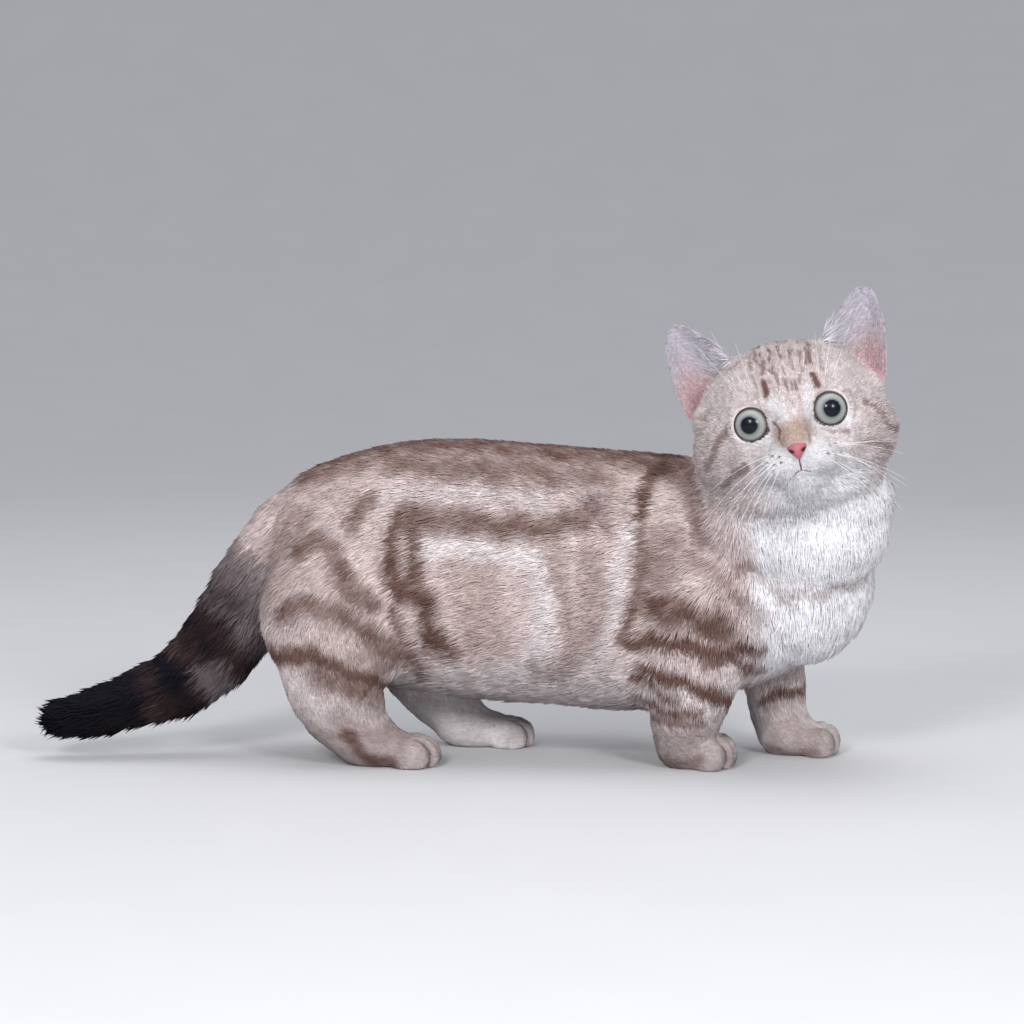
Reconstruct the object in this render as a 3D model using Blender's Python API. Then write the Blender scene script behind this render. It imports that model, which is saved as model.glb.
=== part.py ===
"""A munchkin kitten of about four months, standing on its short legs with the head turned to the viewer.

Metres, +Z up. The body points along +X, the tail along -X, and the face looks along -Y.
The animal is modelled whole, out to the tips of its coat, then parted with thin cuts into named pieces.
Places are first given from a point on the floor under the belly. MIDDLE then moves the origin below
the middle of the whole animal's box."""

import math
from collections import namedtuple

import bmesh
import bpy
from mathutils import Matrix, Vector
from mathutils.bvhtree import BVHTree

# Driving dimensions
GAP = 0.0003  # left between pieces that touch
MIDDLE = Vector((-0.0214, -0.0182, 0.0))
VOXEL = 0.0013  # grain of the fused surface
ZONE_FACES = {"plain": 2950, "face": 2450, "feet": 1850}  # triangles of the whole before it is parted
FOOT_ZONE = 0.022  # feet end this high above the floor

EYE_RADIUS = 0.0088
EYE_APART = 0.0318
EYE_DEPTH = 0.0222  # from the skull's middle forwards to the middle of the eyeball
LID_RADIUS = 0.0101
LID_OPENING = 0.0073
HEAD_HALF_WIDTH = 0.0448
CROWN_HEIGHT = 0.0335  # above the line of the eyes
CHIN_DROP = 0.0355  # below it
HEAD_PLACE = Vector((0.1205, -0.047, 0.1575))  # middle of the skull, on the line of the eyes
HEAD_YAW, HEAD_PITCH, HEAD_ROLL = (math.radians(a) for a in (-5.5, -3.0, -12.0))
SPLAY = math.radians(12)  # each eye's opening faces this far outwards
EAR_WALL, EAR_RIM = 0.0024, 0.0012  # thickness of an ear in its middle and along its edge
EAR_TURN_OUT = 0.18  # how far back an ear's outer edge stands from its inner edge, as a share of its width
GROOVE = 0.00055  # radius of the line of the mouth

# The trunk: vertical rings from rump to breast. turn is the heading towards the viewer, in degrees.
Ring = namedtuple("Ring", "x y turn half_width back belly")
TRUNK = (
    Ring(-0.108, 0.010, 0, 0.017, 0.106, 0.066),
    Ring(-0.101, 0.010, 0, 0.028, 0.122, 0.053),
    Ring(-0.088, 0.010, 1, 0.036, 0.132, 0.044),
    Ring(-0.066, 0.010, 2, 0.041, 0.1395, 0.036),
    Ring(-0.040, 0.009, 3, 0.0435, 0.1438, 0.030),
    Ring(-0.010, 0.008, 4, 0.046, 0.1440, 0.0265),
    Ring(0.022, 0.006, 6, 0.0475, 0.1415, 0.0245),
    Ring(0.050, 0.003, 9, 0.047, 0.1392, 0.0222),
    Ring(0.075, -0.001, 14, 0.046, 0.1375, 0.0240),
    Ring(0.096, -0.006, 21, 0.0455, 0.134, 0.031),
    Ring(0.115, -0.013, 29, 0.0435, 0.127, 0.038),
    Ring(0.130, -0.021, 35, 0.038, 0.117, 0.049),
    Ring(0.140, -0.028, 38, 0.026, 0.103, 0.065),
)
BACK_TAPER = 0.10  # how much narrower a ring is over the back than under the belly
RING_POINTS = 40
RING_POWERS = (0.92, 0.95)  # below 1 squares a ring up a little, across and upwards
END_BULGE = 0.5  # how far the trunk's ends dome out, as a share of their half width

# Round stretches: each station is a middle, a half width across and a half height.
Station = namedtuple("Station", "x y z across high")
NECK = (
    Station(0.098, -0.006, 0.100, 0.038, 0.036),
    Station(0.113, -0.018, 0.118, 0.042, 0.037),
    Station(0.121, -0.034, 0.140, 0.039, 0.034),
    Station(0.123, -0.042, 0.156, 0.033, 0.030),
)
TAIL = (
    Station(-0.078, 0.010, 0.112, 0.020, 0.022),
    Station(-0.096, 0.010, 0.099, 0.020, 0.023),
    Station(-0.111, 0.010, 0.081, 0.0190, 0.0215),
    Station(-0.123, 0.009, 0.064, 0.0180, 0.0195),
    Station(-0.136, 0.008, 0.047, 0.0165, 0.0175),
    Station(-0.151, 0.006, 0.0345, 0.0145, 0.0150),
    Station(-0.170, 0.004, 0.0270, 0.0120, 0.0122),
    Station(-0.188, 0.002, 0.0215, 0.0103, 0.0103),
    Station(-0.201, 0.001, 0.0190, 0.0085, 0.0085),
)

# Each leg's stretch from the body down to the wrist or the hock
FORELEG_RIGHT = (
    Station(0.086, -0.026, 0.078, 0.020, 0.028),
    Station(0.083, -0.028, 0.056, 0.020, 0.024),
    Station(0.079, -0.027, 0.036, 0.018, 0.020),
    Station(0.077, -0.024, 0.020, 0.0150, 0.0155),
    Station(0.078, -0.022, 0.010, 0.0130, 0.0140),
)
FORELEG_LEFT = (
    Station(0.112, 0.018, 0.072, 0.019, 0.026),
    Station(0.115, 0.021, 0.052, 0.017, 0.020),
    Station(0.120, 0.019, 0.034, 0.0145, 0.0150),
    Station(0.122, 0.016, 0.020, 0.0130, 0.0130),
    Station(0.125, 0.014, 0.010, 0.0125, 0.0130),
)
SHANK_RIGHT = (
    Station(-0.079, -0.019, 0.052, 0.018, 0.028),
    Station(-0.078, -0.020, 0.034, 0.0155, 0.0220),
    Station(-0.071, -0.019, 0.020, 0.0135, 0.0175),
    Station(-0.063, -0.018, 0.012, 0.0125, 0.0125),
)
SHANK_LEFT = (
    Station(-0.048, 0.036, 0.052, 0.018, 0.026),
    Station(-0.040, 0.037, 0.034, 0.0150, 0.019),
    Station(-0.030, 0.036, 0.020, 0.0130, 0.0150),
    Station(-0.022, 0.036, 0.012, 0.0120, 0.0115),
)
LEG_MARGIN = 0.0045  # how far outside a leg the cut that parts it from the body passes
THIGH_MARGIN = 0.003

# Feet: middle of the pad on the floor, heading towards the viewer, length, width and height
Foot = namedtuple("Foot", "name x y turn length width height")
FEET = (
    Foot("forepaw_right", 0.0815, -0.0205, 18, 0.036, 0.029, 0.0185),
    Foot("forepaw_left", 0.1315, 0.0130, 6, 0.036, 0.028, 0.0180),
    Foot("hind_foot_right", -0.0565, -0.0175, 8, 0.048, 0.026, 0.0180),
    Foot("hind_foot_left", -0.0130, 0.0350, 2, 0.046, 0.025, 0.0175),
)
SOLE_SINK = 0.0019  # how far a foot's round underside is trimmed away to give it a flat
# The pad and the toes, as shares of the foot's length, width and height
PAD_LENGTH, PAD_WIDTH, PAD_HEIGHT, PAD_BACK = 0.41, 0.47, 0.98, 0.09
TOE_COUNT = 4
TOE_LENGTH, TOE_WIDTH, TOE_HEIGHT = 0.190, 0.158, 0.46
TOE_REACH, TOE_SPREAD, TOE_RISE = 0.335, 0.345, 0.40
TOE_ARC, TOE_ARC_POWER = 0.10, 1.6  # how far the outer toes stand back
TOE_DROOP, TOE_FAN = 10, 9  # degrees

# Rounded masses: a middle, three radii and the turns about X, Y and Z in degrees
Mass = namedtuple("Mass", "name middle radii turn")
THIGHS = (
    Mass("thigh_right", (-0.075, -0.0150, 0.068), (0.037, 0.0215, 0.038), (0, 20, 0)),
    Mass("thigh_left", (-0.062, 0.0345, 0.068), (0.037, 0.0210, 0.038), (0, -5, 0)),
)
SHOULDERS_AND_BREAST = (
    Mass("shoulder_right", (0.082, -0.0240, 0.086), (0.028, 0.0210, 0.040), (0, -8, 12)),
    Mass("shoulder_left", (0.104, 0.0190, 0.086), (0.028, 0.0190, 0.040), (0, -8, -30)),
    Mass("breast", (0.1290, -0.0220, 0.0870), (0.0310, 0.0340, 0.0400), (0, 0, -30)),
    Mass("bib", (0.1295, -0.0330, 0.1130), (0.0370, 0.0340, 0.0350), (0, 0, -20)),
    Mass("ruff", (0.1255, -0.0380, 0.1280), (0.0415, 0.0350, 0.0270), (0, 12, 0)),
)

# Head masses, in the head's own axes: X across, -Y forwards, +Z up, from the skull's middle on the eye line
HEAD_MIDLINE = (
    Mass("cranium", (0, 0.0050, 0.0015), (HEAD_HALF_WIDTH * 0.88, 0.0370, CROWN_HEIGHT - 0.0015), (0, 0, 0)),
    Mass("nape", (0, 0.0160, -0.0060), (0.0340, 0.0260, 0.0280), (0, 0, 0)),
    Mass("jaw", (0, -0.0110, -0.0205), (0.0290, 0.0235, 0.0150), (0, 0, 0)),
    Mass("muzzle", (0, -0.0250, -0.0182), (0.0190, 0.0158, 0.0125), (0, 0, 0)),
    Mass("chin", (0, -0.0280, -0.0282), (0.0095, 0.0092, CHIN_DROP - 0.0282), (0, 0, 0)),
)
HEAD_PAIRS = (
    Mass("cheek", (0.0195, -0.0010, -0.0105), (HEAD_HALF_WIDTH - 0.0195, 0.0240, 0.0225), (0, 0, 0)),
    Mass("whisker_pad", (0.0080, -0.0312, -0.0192), (0.0098, 0.0102, 0.0074), (0, 0, -24)),
    Mass("lid", (EYE_APART / 2, -EYE_DEPTH, 0), (LID_RADIUS, LID_RADIUS, LID_RADIUS), (0, 0, 0)),
    Mass("malar", (0.0168, -0.0200, -0.0130), (0.0120, 0.0110, 0.0105), (0, 0, 0)),
    Mass("brow", (0.0155, -0.0165, 0.0100), (0.0130, 0.0095, 0.0065), (0, 12, 0)),
)
BRIDGE = (
    Station(0, -0.0195, 0.0110, 0.0100, 0.0095),
    Station(0, -0.0260, 0.0010, 0.0088, 0.0076),
    Station(0, -0.0320, -0.0070, 0.0078, 0.0068),
    Station(0, -0.0383, -0.0135, 0.0066, 0.0052),
)
NOSE_TOP, NOSE_FOOT = Vector((0.0016, -0.0418, -0.0126)), Vector((0, -0.0412, -0.0170))
NOSE_CORNER = 0.0013  # radius of its rounded corners
NOSTRIL = Mass("nostril", (0.0019, -0.0434, -0.0146), (0.0009, 0.0016, 0.0006), (0, 20, 0))
# The line of the mouth as X and Z: the philtrum under the nose, then one side out to the corner
MOUTH_LINE = ((0, -0.0178), (0, -0.0238), (0.0030, -0.0256), (0.0073, -0.0282))

# Ears, in the head's own axes: rows from root to tip, each the X and Z of the inner and the outer edge
EAR_ROWS = (
    (0.0172, 0.0238, 0.0392, 0.0003),
    (0.0195, 0.0303, 0.0437, 0.0087),
    (0.0253, 0.0371, 0.0463, 0.0213),
    (0.0316, 0.0432, 0.0475, 0.0338),
    (0.0376, 0.0480, 0.0458, 0.0452),
    (0.0396, 0.0488, 0.0440, 0.0476),
)
EAR_CUP = 0.40  # depth of the cup as a share of the ear's width
EAR_HOLLOW = Mass("ear_hollow", (0.0330, 0.0070, 0.0190), (0.0125, 0.0072, 0.0070), (0, 45, 0))

# Where the body is parted: a point on each cut, and the side that the piece lies on
NECK_CUT = ((0.105, -0.015, 0.125), (0.55, -0.25, 0.80))
CHEST_CUT = ((0.046, 0.0, 0.09), (1.0, -0.12, 0.0))
RUMP_CUT = ((-0.046, 0.0, 0.09), (-1.0, 0.0, -0.12))
TAIL_TIP_CUT = ((-0.166, 0.004, 0.028), (-0.95, 0.0, -0.30))
TAIL_MIDDLE_CUT = ((-0.131, 0.008, 0.053), (-0.65, 0.0, -0.75))
SKULL = Mass("region", (0, -0.0100, 0), (0.0550, 0.0530, 0.0415), (0, 0, 0))  # all that is head lies in it

FAWN, CREAM, BLACK = (0.60, 0.50, 0.44), (0.80, 0.76, 0.72), (0.05, 0.045, 0.05)
PINK, PALE_GREEN = (0.72, 0.45, 0.42), (0.55, 0.60, 0.50)


def clear_scene():
    for obj in list(bpy.data.objects):
        bpy.data.objects.remove(obj)


def finish(name, colour, roughness=0.85):
    """A plain material for one kind of surface."""
    material = bpy.data.materials.get(name) or bpy.data.materials.new(name)
    material.use_nodes = True
    shader = material.node_tree.nodes["Principled BSDF"]
    shader.inputs["Base Color"].default_value = (*colour, 1)
    shader.inputs["Roughness"].default_value = roughness
    shader.inputs["Metallic"].default_value = 0
    return material


def place(name, bm):
    """A new object in the scene that holds this bmesh."""
    bmesh.ops.recalc_face_normals(bm, faces=bm.faces)
    mesh = bpy.data.meshes.new(name)
    bm.to_mesh(mesh)
    bm.free()
    obj = bpy.data.objects.new(name, mesh)
    bpy.context.scene.collection.objects.link(obj)
    return obj


def ball(name, centre, radii, turn=(0, 0, 0), rounds=4, margin=0.0):
    """An egg shape. turn is in degrees about X, Y and Z, and margin makes it that much bigger all round."""
    bm = bmesh.new()
    bmesh.ops.create_icosphere(bm, subdivisions=rounds, radius=1)
    rotation = Matrix.Rotation(math.radians(turn[2]), 4, "Z")
    rotation @= Matrix.Rotation(math.radians(turn[1]), 4, "Y")
    rotation @= Matrix.Rotation(math.radians(turn[0]), 4, "X")
    size = Matrix.Diagonal((*(radius + margin for radius in radii), 1))
    bmesh.ops.transform(bm, matrix=Matrix.Translation(centre) @ rotation @ size, verts=bm.verts)
    return place(name, bm)


def skin_rings(name, rings):
    """A closed surface over a row of rings, each with the same even number of points."""
    bm = bmesh.new()
    rows = [[bm.verts.new(point) for point in ring] for ring in rings]
    count = len(rows[0])
    for low, high in zip(rows, rows[1:]):
        for i in range(count):
            j = (i + 1) % count
            bm.faces.new((low[i], low[j], high[j], high[i]))
    for end in (rows[0], rows[-1]):
        for i in range(count // 2 - 1):
            bm.faces.new((end[i], end[i + 1], end[count - 2 - i], end[count - 1 - i]))
    bmesh.ops.triangulate(bm, faces=bm.faces[:])
    return place(name, bm)


def blend_stations(stations, steps):
    """Rows of numbers along a smooth curve through the given rows."""
    ends = [stations[0], *stations, stations[-1]]
    fine = []
    for before, start, end, after in zip(ends, ends[1:], ends[2:], ends[3:]):
        for step in range(steps):
            t = step / steps
            fine.append([
                0.5 * (2 * b + (c - a) * t + (2 * a - 5 * b + 4 * c - d) * t * t
                       + (3 * b - a - 3 * c + d) * t ** 3)
                for a, b, c, d in zip(before, start, end, after)
            ])
    fine.append(list(stations[-1]))
    return fine


def tube(name, stations, points=28, steps=5, margin=0.0):
    """A round limb through the stations, with domed ends. margin makes it that much thicker all round."""
    fine = blend_stations([Station(*s[:3], s.across + margin, s.high + margin) for s in stations], steps)
    middles = [Vector(row[:3]) for row in fine]
    rings = []
    for i, row in enumerate(fine):
        ahead = (middles[min(i + 1, len(fine) - 1)] - middles[max(i - 1, 0)]).normalized()
        side = Vector((0, 1, 0))
        side = (side - side.dot(ahead) * ahead).normalized()
        rise = ahead.cross(side)
        circle = [
            (math.cos(a) * row[3] * side, math.sin(a) * row[4] * rise)
            for a in (2 * math.pi * k / points for k in range(points))
        ]
        dome = []
        if i in (0, len(fine) - 1):
            outwards = -ahead if i == 0 else ahead
            for bend in (80, 60, 40, 20):
                b = math.radians(bend)
                depth = outwards * math.sin(b) * min(row[3], row[4])
                dome.append([middles[i] + depth + math.cos(b) * (u + v) for u, v in circle])
        ring = [middles[i] + u + v for u, v in circle]
        rings += dome + [ring] if i == 0 else [ring] + dome[::-1]
    return skin_rings(name, rings)


def trunk():
    """The body from rump to breast, as rings that follow the bend of the spine."""
    rings = []
    fine = blend_stations(TRUNK, steps=4)
    for x, y, turn, half_width, back, belly in fine:
        aside = Vector((math.sin(math.radians(turn)), math.cos(math.radians(turn)), 0))
        middle, half_height = (back + belly) / 2, (back - belly) / 2
        ring = []
        for k in range(RING_POINTS):
            a = 2 * math.pi * k / RING_POINTS
            across = math.copysign(abs(math.cos(a)) ** RING_POWERS[0], math.cos(a))
            up = math.copysign(abs(math.sin(a)) ** RING_POWERS[1], math.sin(a))
            width = half_width * (1 - BACK_TAPER * math.sin(a))
            ring.append(Vector((x, y, middle + up * half_height)) + aside * across * width)
        rings.append(ring)
    for end, sign in ((0, -1), (-1, 1)):
        x, y, turn, half_width, back, belly = fine[end]
        ahead = Vector((math.cos(math.radians(turn)), -math.sin(math.radians(turn)), 0))
        middle = Vector((x, y, (back + belly) / 2))
        cap = [
            [
                middle + (p - middle) * math.cos(math.radians(b))
                + ahead * sign * math.sin(math.radians(b)) * half_width * END_BULGE
                for p in rings[end]
            ]
            for b in (30, 60, 80)
        ]
        rings = cap[::-1] + rings if end == 0 else rings + cap
    return skin_rings("trunk", rings)


def heading(spec):
    """The way a foot points on the floor."""
    return Vector((math.cos(math.radians(spec.turn)), -math.sin(math.radians(spec.turn)), 0))


def foot(spec):
    """One foot: a low pad with a row of toes in an arc at its front end."""
    forward = heading(spec)
    aside = Vector((-forward.y, forward.x, 0))
    ground = Vector((spec.x, spec.y, -SOLE_SINK))
    half_height = (spec.height + SOLE_SINK) / 2
    pieces = [
        ball(
            spec.name + "_pad",
            ground + Vector((0, 0, half_height * PAD_HEIGHT)) - forward * spec.length * PAD_BACK,
            (spec.length * PAD_LENGTH, spec.width * PAD_WIDTH, half_height * PAD_HEIGHT),
            (0, 0, -spec.turn),
        )
    ]
    for i in range(TOE_COUNT):
        slot = (i - (TOE_COUNT - 1) / 2) / ((TOE_COUNT - 1) / 2)  # -1 to 1 across the foot
        reach = spec.length * (TOE_REACH - TOE_ARC * abs(slot) ** TOE_ARC_POWER)
        middle = ground + forward * reach + aside * slot * spec.width * TOE_SPREAD
        middle.z += spec.height * TOE_RISE
        pieces.append(
            ball(
                f"{spec.name}_toe_{i}",
                middle,
                (spec.length * TOE_LENGTH, spec.width * TOE_WIDTH, spec.height * TOE_HEIGHT),
                (0, TOE_DROOP, -spec.turn + slot * TOE_FAN),
            )
        )
    return pieces


def head_frame():
    """From the head's own axes, face along -Y, to where the head is held."""
    turn = Matrix.Rotation(HEAD_YAW, 4, "Z") @ Matrix.Rotation(HEAD_PITCH, 4, "X")
    return Matrix.Translation(HEAD_PLACE) @ turn @ Matrix.Rotation(HEAD_ROLL, 4, "Y")


def both_sides(mass, rounds=4):
    """An egg shape on each side of the face."""
    x, y, z = mass.middle
    tilt, lean, swing = mass.turn
    return [
        ball(f"{mass.name}_left", (x, y, z), mass.radii, mass.turn, rounds),
        ball(f"{mass.name}_right", (-x, y, z), mass.radii, (tilt, -lean, -swing), rounds),
    ]


def head_forms():
    """The skull, cheeks, muzzle, lids and chin with their short coat, set where the head is held."""
    forms = [ball(*mass) for mass in HEAD_MIDLINE]
    forms.append(tube("bridge", BRIDGE))
    for mass in HEAD_PAIRS:
        forms += both_sides(mass)
    for form in forms:
        form.data.transform(head_frame())
    return forms


def join(objects, name):
    """One object that holds the meshes of all these."""
    bpy.ops.object.select_all(action="DESELECT")
    for obj in objects:
        obj.select_set(True)
    bpy.context.view_layer.objects.active = objects[0]
    bpy.ops.object.join()
    objects[0].name = name
    return objects[0]


def apply(obj, kind, **settings):
    """Adds a modifier with these settings and applies it."""
    modifier = obj.modifiers.new(kind.title(), kind)
    for key, value in settings.items():
        setattr(modifier, key, value)
    bpy.ops.object.select_all(action="DESELECT")
    obj.select_set(True)
    bpy.context.view_layer.objects.active = obj
    bpy.ops.object.modifier_apply(modifier=modifier.name)


def cut(obj, cutter, operation="DIFFERENCE", solver="MANIFOLD"):
    """One Boolean. The exact solver loses the body or leaves open edges on many of these fine cuts, so most
    of them use the manifold one."""
    apply(obj, "BOOLEAN", object=cutter, operation=operation, solver=solver)


def copy_of(obj, name):
    twin = obj.copy()
    twin.data = obj.data.copy()
    twin.name = name
    bpy.context.scene.collection.objects.link(twin)
    return twin


def grow(obj, distance):
    """Moves every face out by this distance."""
    bm = bmesh.new()
    bm.from_mesh(obj.data)
    bm.normal_update()
    moves = [(v, v.normal * distance * v.calc_shell_factor()) for v in bm.verts]
    for vertex, move in moves:
        vertex.co += move
    bm.to_mesh(obj.data)
    bm.free()


def keep_largest(obj):
    """Drops every loose scrap, so that one closed surface is left."""
    bm = bmesh.new()
    bm.from_mesh(obj.data)
    unseen = set(bm.verts)
    groups = []
    while unseen:
        stack = [unseen.pop()]
        group = list(stack)
        while stack:
            for edge in stack.pop().link_edges:
                for vertex in edge.verts:
                    if vertex in unseen:
                        unseen.remove(vertex)
                        stack.append(vertex)
                        group.append(vertex)
        groups.append(group)
    largest = max(groups, key=len)
    scraps = [vertex for group in groups if group is not largest for vertex in group]
    bmesh.ops.delete(bm, geom=scraps, context="VERTS")
    bm.to_mesh(obj.data)
    bm.free()


def part_off(body, name, region):
    """Takes what lies in the region from the body as a new piece, with a thin gap between the two."""
    piece = copy_of(body, name)
    cut(piece, region, "INTERSECT")
    keep_largest(piece)
    grow(region, GAP)
    cut(body, region)
    keep_largest(body)
    bpy.data.objects.remove(region)
    return piece


def weigh(obj, name, rule):
    """A vertex group whose weights come from a rule on the point."""
    group = obj.vertex_groups.new(name=name)
    for vertex in obj.data.vertices:
        group.add([vertex.index], min(1.0, max(0.0, rule(vertex.co))), "REPLACE")
    return group.name


def fine_places():
    """Where the fused surface keeps its finest detail: middles, each with a reach."""
    frame = head_frame()
    places = [
        (frame @ Vector((0, -0.036, -0.016)), 0.022),
        (frame @ Vector((EYE_APART / 2, -0.028, 0)), 0.015),
        (frame @ Vector((-EYE_APART / 2, -0.028, 0)), 0.015),
    ]
    for spec in FEET:
        places.append((Vector((spec.x, spec.y, 0.006)) + heading(spec) * spec.length * 0.33, 0.019))
    return places


def thin_out(body, inside, faces):
    """Thins the surface inside a zone to about so many triangles and leaves the rest of it alone."""
    polygons = body.data.polygons
    total = sum(len(p.vertices) - 2 for p in polygons)
    kept = sum(len(p.vertices) - 2 for p in polygons if not inside(p.center))
    group = weigh(body, "thin", lambda point: 1.0 if inside(point) else 0.0)
    apply(body, "DECIMATE", ratio=(kept + faces) / total, vertex_group=group)


def fused_animal():
    """All the body's forms as one smooth closed surface with flat soles."""
    forms = [
        trunk(),
        tube("neck", NECK),
        tube("tail", TAIL),
        tube("foreleg_right", FORELEG_RIGHT),
        tube("foreleg_left", FORELEG_LEFT),
        tube("shank_right", SHANK_RIGHT),
        tube("shank_left", SHANK_LEFT),
    ]
    forms += [ball(*mass) for mass in THIGHS + SHOULDERS_AND_BREAST]
    for spec in FEET:
        forms += foot(spec)
    forms += head_forms()
    whole = join(forms, "whole")
    apply(whole, "REMESH", mode="VOXEL", voxel_size=VOXEL)
    places = fine_places()

    def broad(point):
        """0 where the detail is finest, 1 over the plain body."""
        return min(1.0, max(0.0, 2 * min((point - middle).length / reach - 0.7 for middle, reach in places)))

    def on_face(point):
        return min(1.0, max(0.0, (0.060 - (point - HEAD_PLACE).length) / 0.010))

    def zone(point):
        if on_face(point) > 0:
            return "face"
        return "feet" if point.z < FOOT_ZONE and broad(point) < 1 else "plain"

    apply(whole, "SMOOTH", factor=0.5, iterations=5)
    apply(whole, "SMOOTH", factor=0.5, iterations=8, vertex_group=weigh(whole, "face", on_face))
    apply(whole, "SMOOTH", factor=0.5, iterations=30, vertex_group=weigh(whole, "broad", broad))
    for name, faces in ZONE_FACES.items():
        thin_out(whole, lambda point: zone(point) == name, faces)
    floor = box("floor", (-0.4, 0.4), (-0.4, 0.4), (-0.1, 0.0))
    cut(whole, floor, solver="EXACT")
    keep_largest(whole)
    bpy.data.objects.remove(floor)
    whole.vertex_groups.clear()
    return whole


def box(name, xs, ys, zs, frame=None):
    bm = bmesh.new()
    bmesh.ops.create_cube(bm, size=1)
    size = Vector((xs[1] - xs[0], ys[1] - ys[0], zs[1] - zs[0]))
    middle = Vector((xs[0] + xs[1], ys[0] + ys[1], zs[0] + zs[1])) / 2
    bmesh.ops.transform(bm, matrix=Matrix.Translation(middle) @ Matrix.Diagonal((*size, 1)), verts=bm.verts)
    if frame:
        bmesh.ops.transform(bm, matrix=frame, verts=bm.verts)
    return place(name, bm)


def half_space(spot, side):
    """A big block whose near face passes through the spot. It lies on the given side of it."""
    turn = Vector(side).to_track_quat("Z", "Y").to_matrix().to_4x4()
    return box("half_space", (-0.3, 0.3), (-0.3, 0.3), (0, 0.6), Matrix.Translation(spot) @ turn)


def foot_region(spec):
    """A block round one foot, up to its wrist or hock."""
    frame = Matrix.Translation((spec.x, spec.y, 0)) @ Matrix.Rotation(math.radians(-spec.turn), 4, "Z")
    reach, side = spec.length * 0.68, spec.width * 0.78
    return box("region", (-reach, reach), (-side, side), (-0.01, spec.height * 1.10), frame)


def leg_region(stations):
    """A plain tube that holds a whole limb, coat and all."""
    return tube("region", stations, points=8, steps=1, margin=LEG_MARGIN)


def groove_line(body, points, sideways):
    """A thin tube whose middle runs on the face's surface through these X and Z."""
    frame = head_frame()
    inverse = frame.inverted()
    tree = BVHTree.FromPolygons([inverse @ v.co for v in body.data.vertices],
                                [p.vertices[:] for p in body.data.polygons])
    stations = []
    for x, z in points:
        hit = tree.ray_cast(Vector((x * sideways, -0.1, z)), Vector((0, 1, 0)))[0]
        stations.append(Vector((hit.x, hit.y, hit.z)))
    return rod("groove", [frame @ point for point in stations], GROOVE)


def rod(name, middles, radius, points=4):
    """A thin round rod through these points, with flat ends."""
    rings = []
    for i, middle in enumerate(middles):
        ahead = (middles[min(i + 1, len(middles) - 1)] - middles[max(i - 1, 0)]).normalized()
        side = ahead.cross(Vector((0, 1, 0))).normalized()
        rise = side.cross(ahead)
        angles = [2 * math.pi * k / points for k in range(points)]
        rings.append([middle + radius * (math.cos(a) * side + math.sin(a) * rise) for a in angles])
    return skin_rings(name, rings)


def ear(name, sideways):
    """One ear: a cupped leaf, thick in its middle and thin along its edge, standing on the skull."""
    across = 7
    rings = []
    for inner_x, inner_z, outer_x, outer_z in blend_stations(EAR_ROWS, 2):
        inner, outer = Vector((inner_x, 0, inner_z)), Vector((outer_x, 0, outer_z))
        width = (outer - inner).length
        outer.y = EAR_TURN_OUT * width
        front, back = [], []
        for k in range(across):
            v = 2 * k / (across - 1) - 1
            point = inner.lerp(outer, (v + 1) / 2)
            point.y += EAR_CUP * width * (1 - v * v)
            wall = EAR_RIM + (EAR_WALL - EAR_RIM) * (1 - v * v)
            point.x *= sideways
            front.append(point)
            back.append(point + Vector((0, wall * (1 + 0.5 * abs(v)), 0)))
        rings.append(front + back[::-1])
    leaf = skin_rings(name, rings)
    leaf.data.transform(head_frame())
    return leaf


def nose_leather(name):
    """A small rounded triangle, point down, with its corners as balls."""
    bm = bmesh.new()
    front = (NOSE_TOP + NOSE_FOOT) / 2 - Vector((NOSE_TOP.x / 2, NOSE_CORNER, 0))
    for corner, share in (
        (NOSE_TOP, 1.0),
        (Vector((-NOSE_TOP.x, NOSE_TOP.y, NOSE_TOP.z)), 1.0),
        (NOSE_FOOT, 0.8),
        (front, 0.9),
    ):
        matrix = Matrix.Translation(corner)
        bmesh.ops.create_icosphere(bm, subdivisions=2, radius=NOSE_CORNER * share, matrix=matrix)
    bmesh.ops.delete(bm, geom=bm.edges[:], context="EDGES_FACES")
    hull = bmesh.ops.convex_hull(bm, input=bm.verts[:])
    bmesh.ops.delete(bm, geom=hull["geom_interior"], context="VERTS")
    bmesh.ops.transform(bm, matrix=head_frame(), verts=bm.verts)
    return place(name, bm)


def eye_spot(sideways):
    return head_frame() @ Vector((sideways * EYE_APART / 2, -EYE_DEPTH, 0))


def eye_opening(sideways):
    """A short round bar that cuts the opening between the lids."""
    bm = bmesh.new()
    aim = Matrix.Translation((sideways * EYE_APART / 2, -EYE_DEPTH, 0))
    aim @= Matrix.Rotation(sideways * SPLAY, 4, "Z") @ Matrix.Rotation(math.radians(90), 4, "X")
    bar = aim @ Matrix.Translation((0, 0, 0.010))
    bmesh.ops.create_cone(bm, cap_ends=True, segments=40, radius1=LID_OPENING, radius2=LID_OPENING,
                          depth=0.020, matrix=bar)
    bmesh.ops.transform(bm, matrix=head_frame(), verts=bm.verts)
    return place("opening", bm)


def carve(body, cutters):
    for cutter in cutters:
        cut(body, cutter)
        bpy.data.objects.remove(cutter)
    keep_largest(body)


def socket_for(piece):
    """The room that a piece takes up, with the thin gap round it."""
    room = copy_of(piece, "room")
    grow(room, GAP)
    return room


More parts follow.
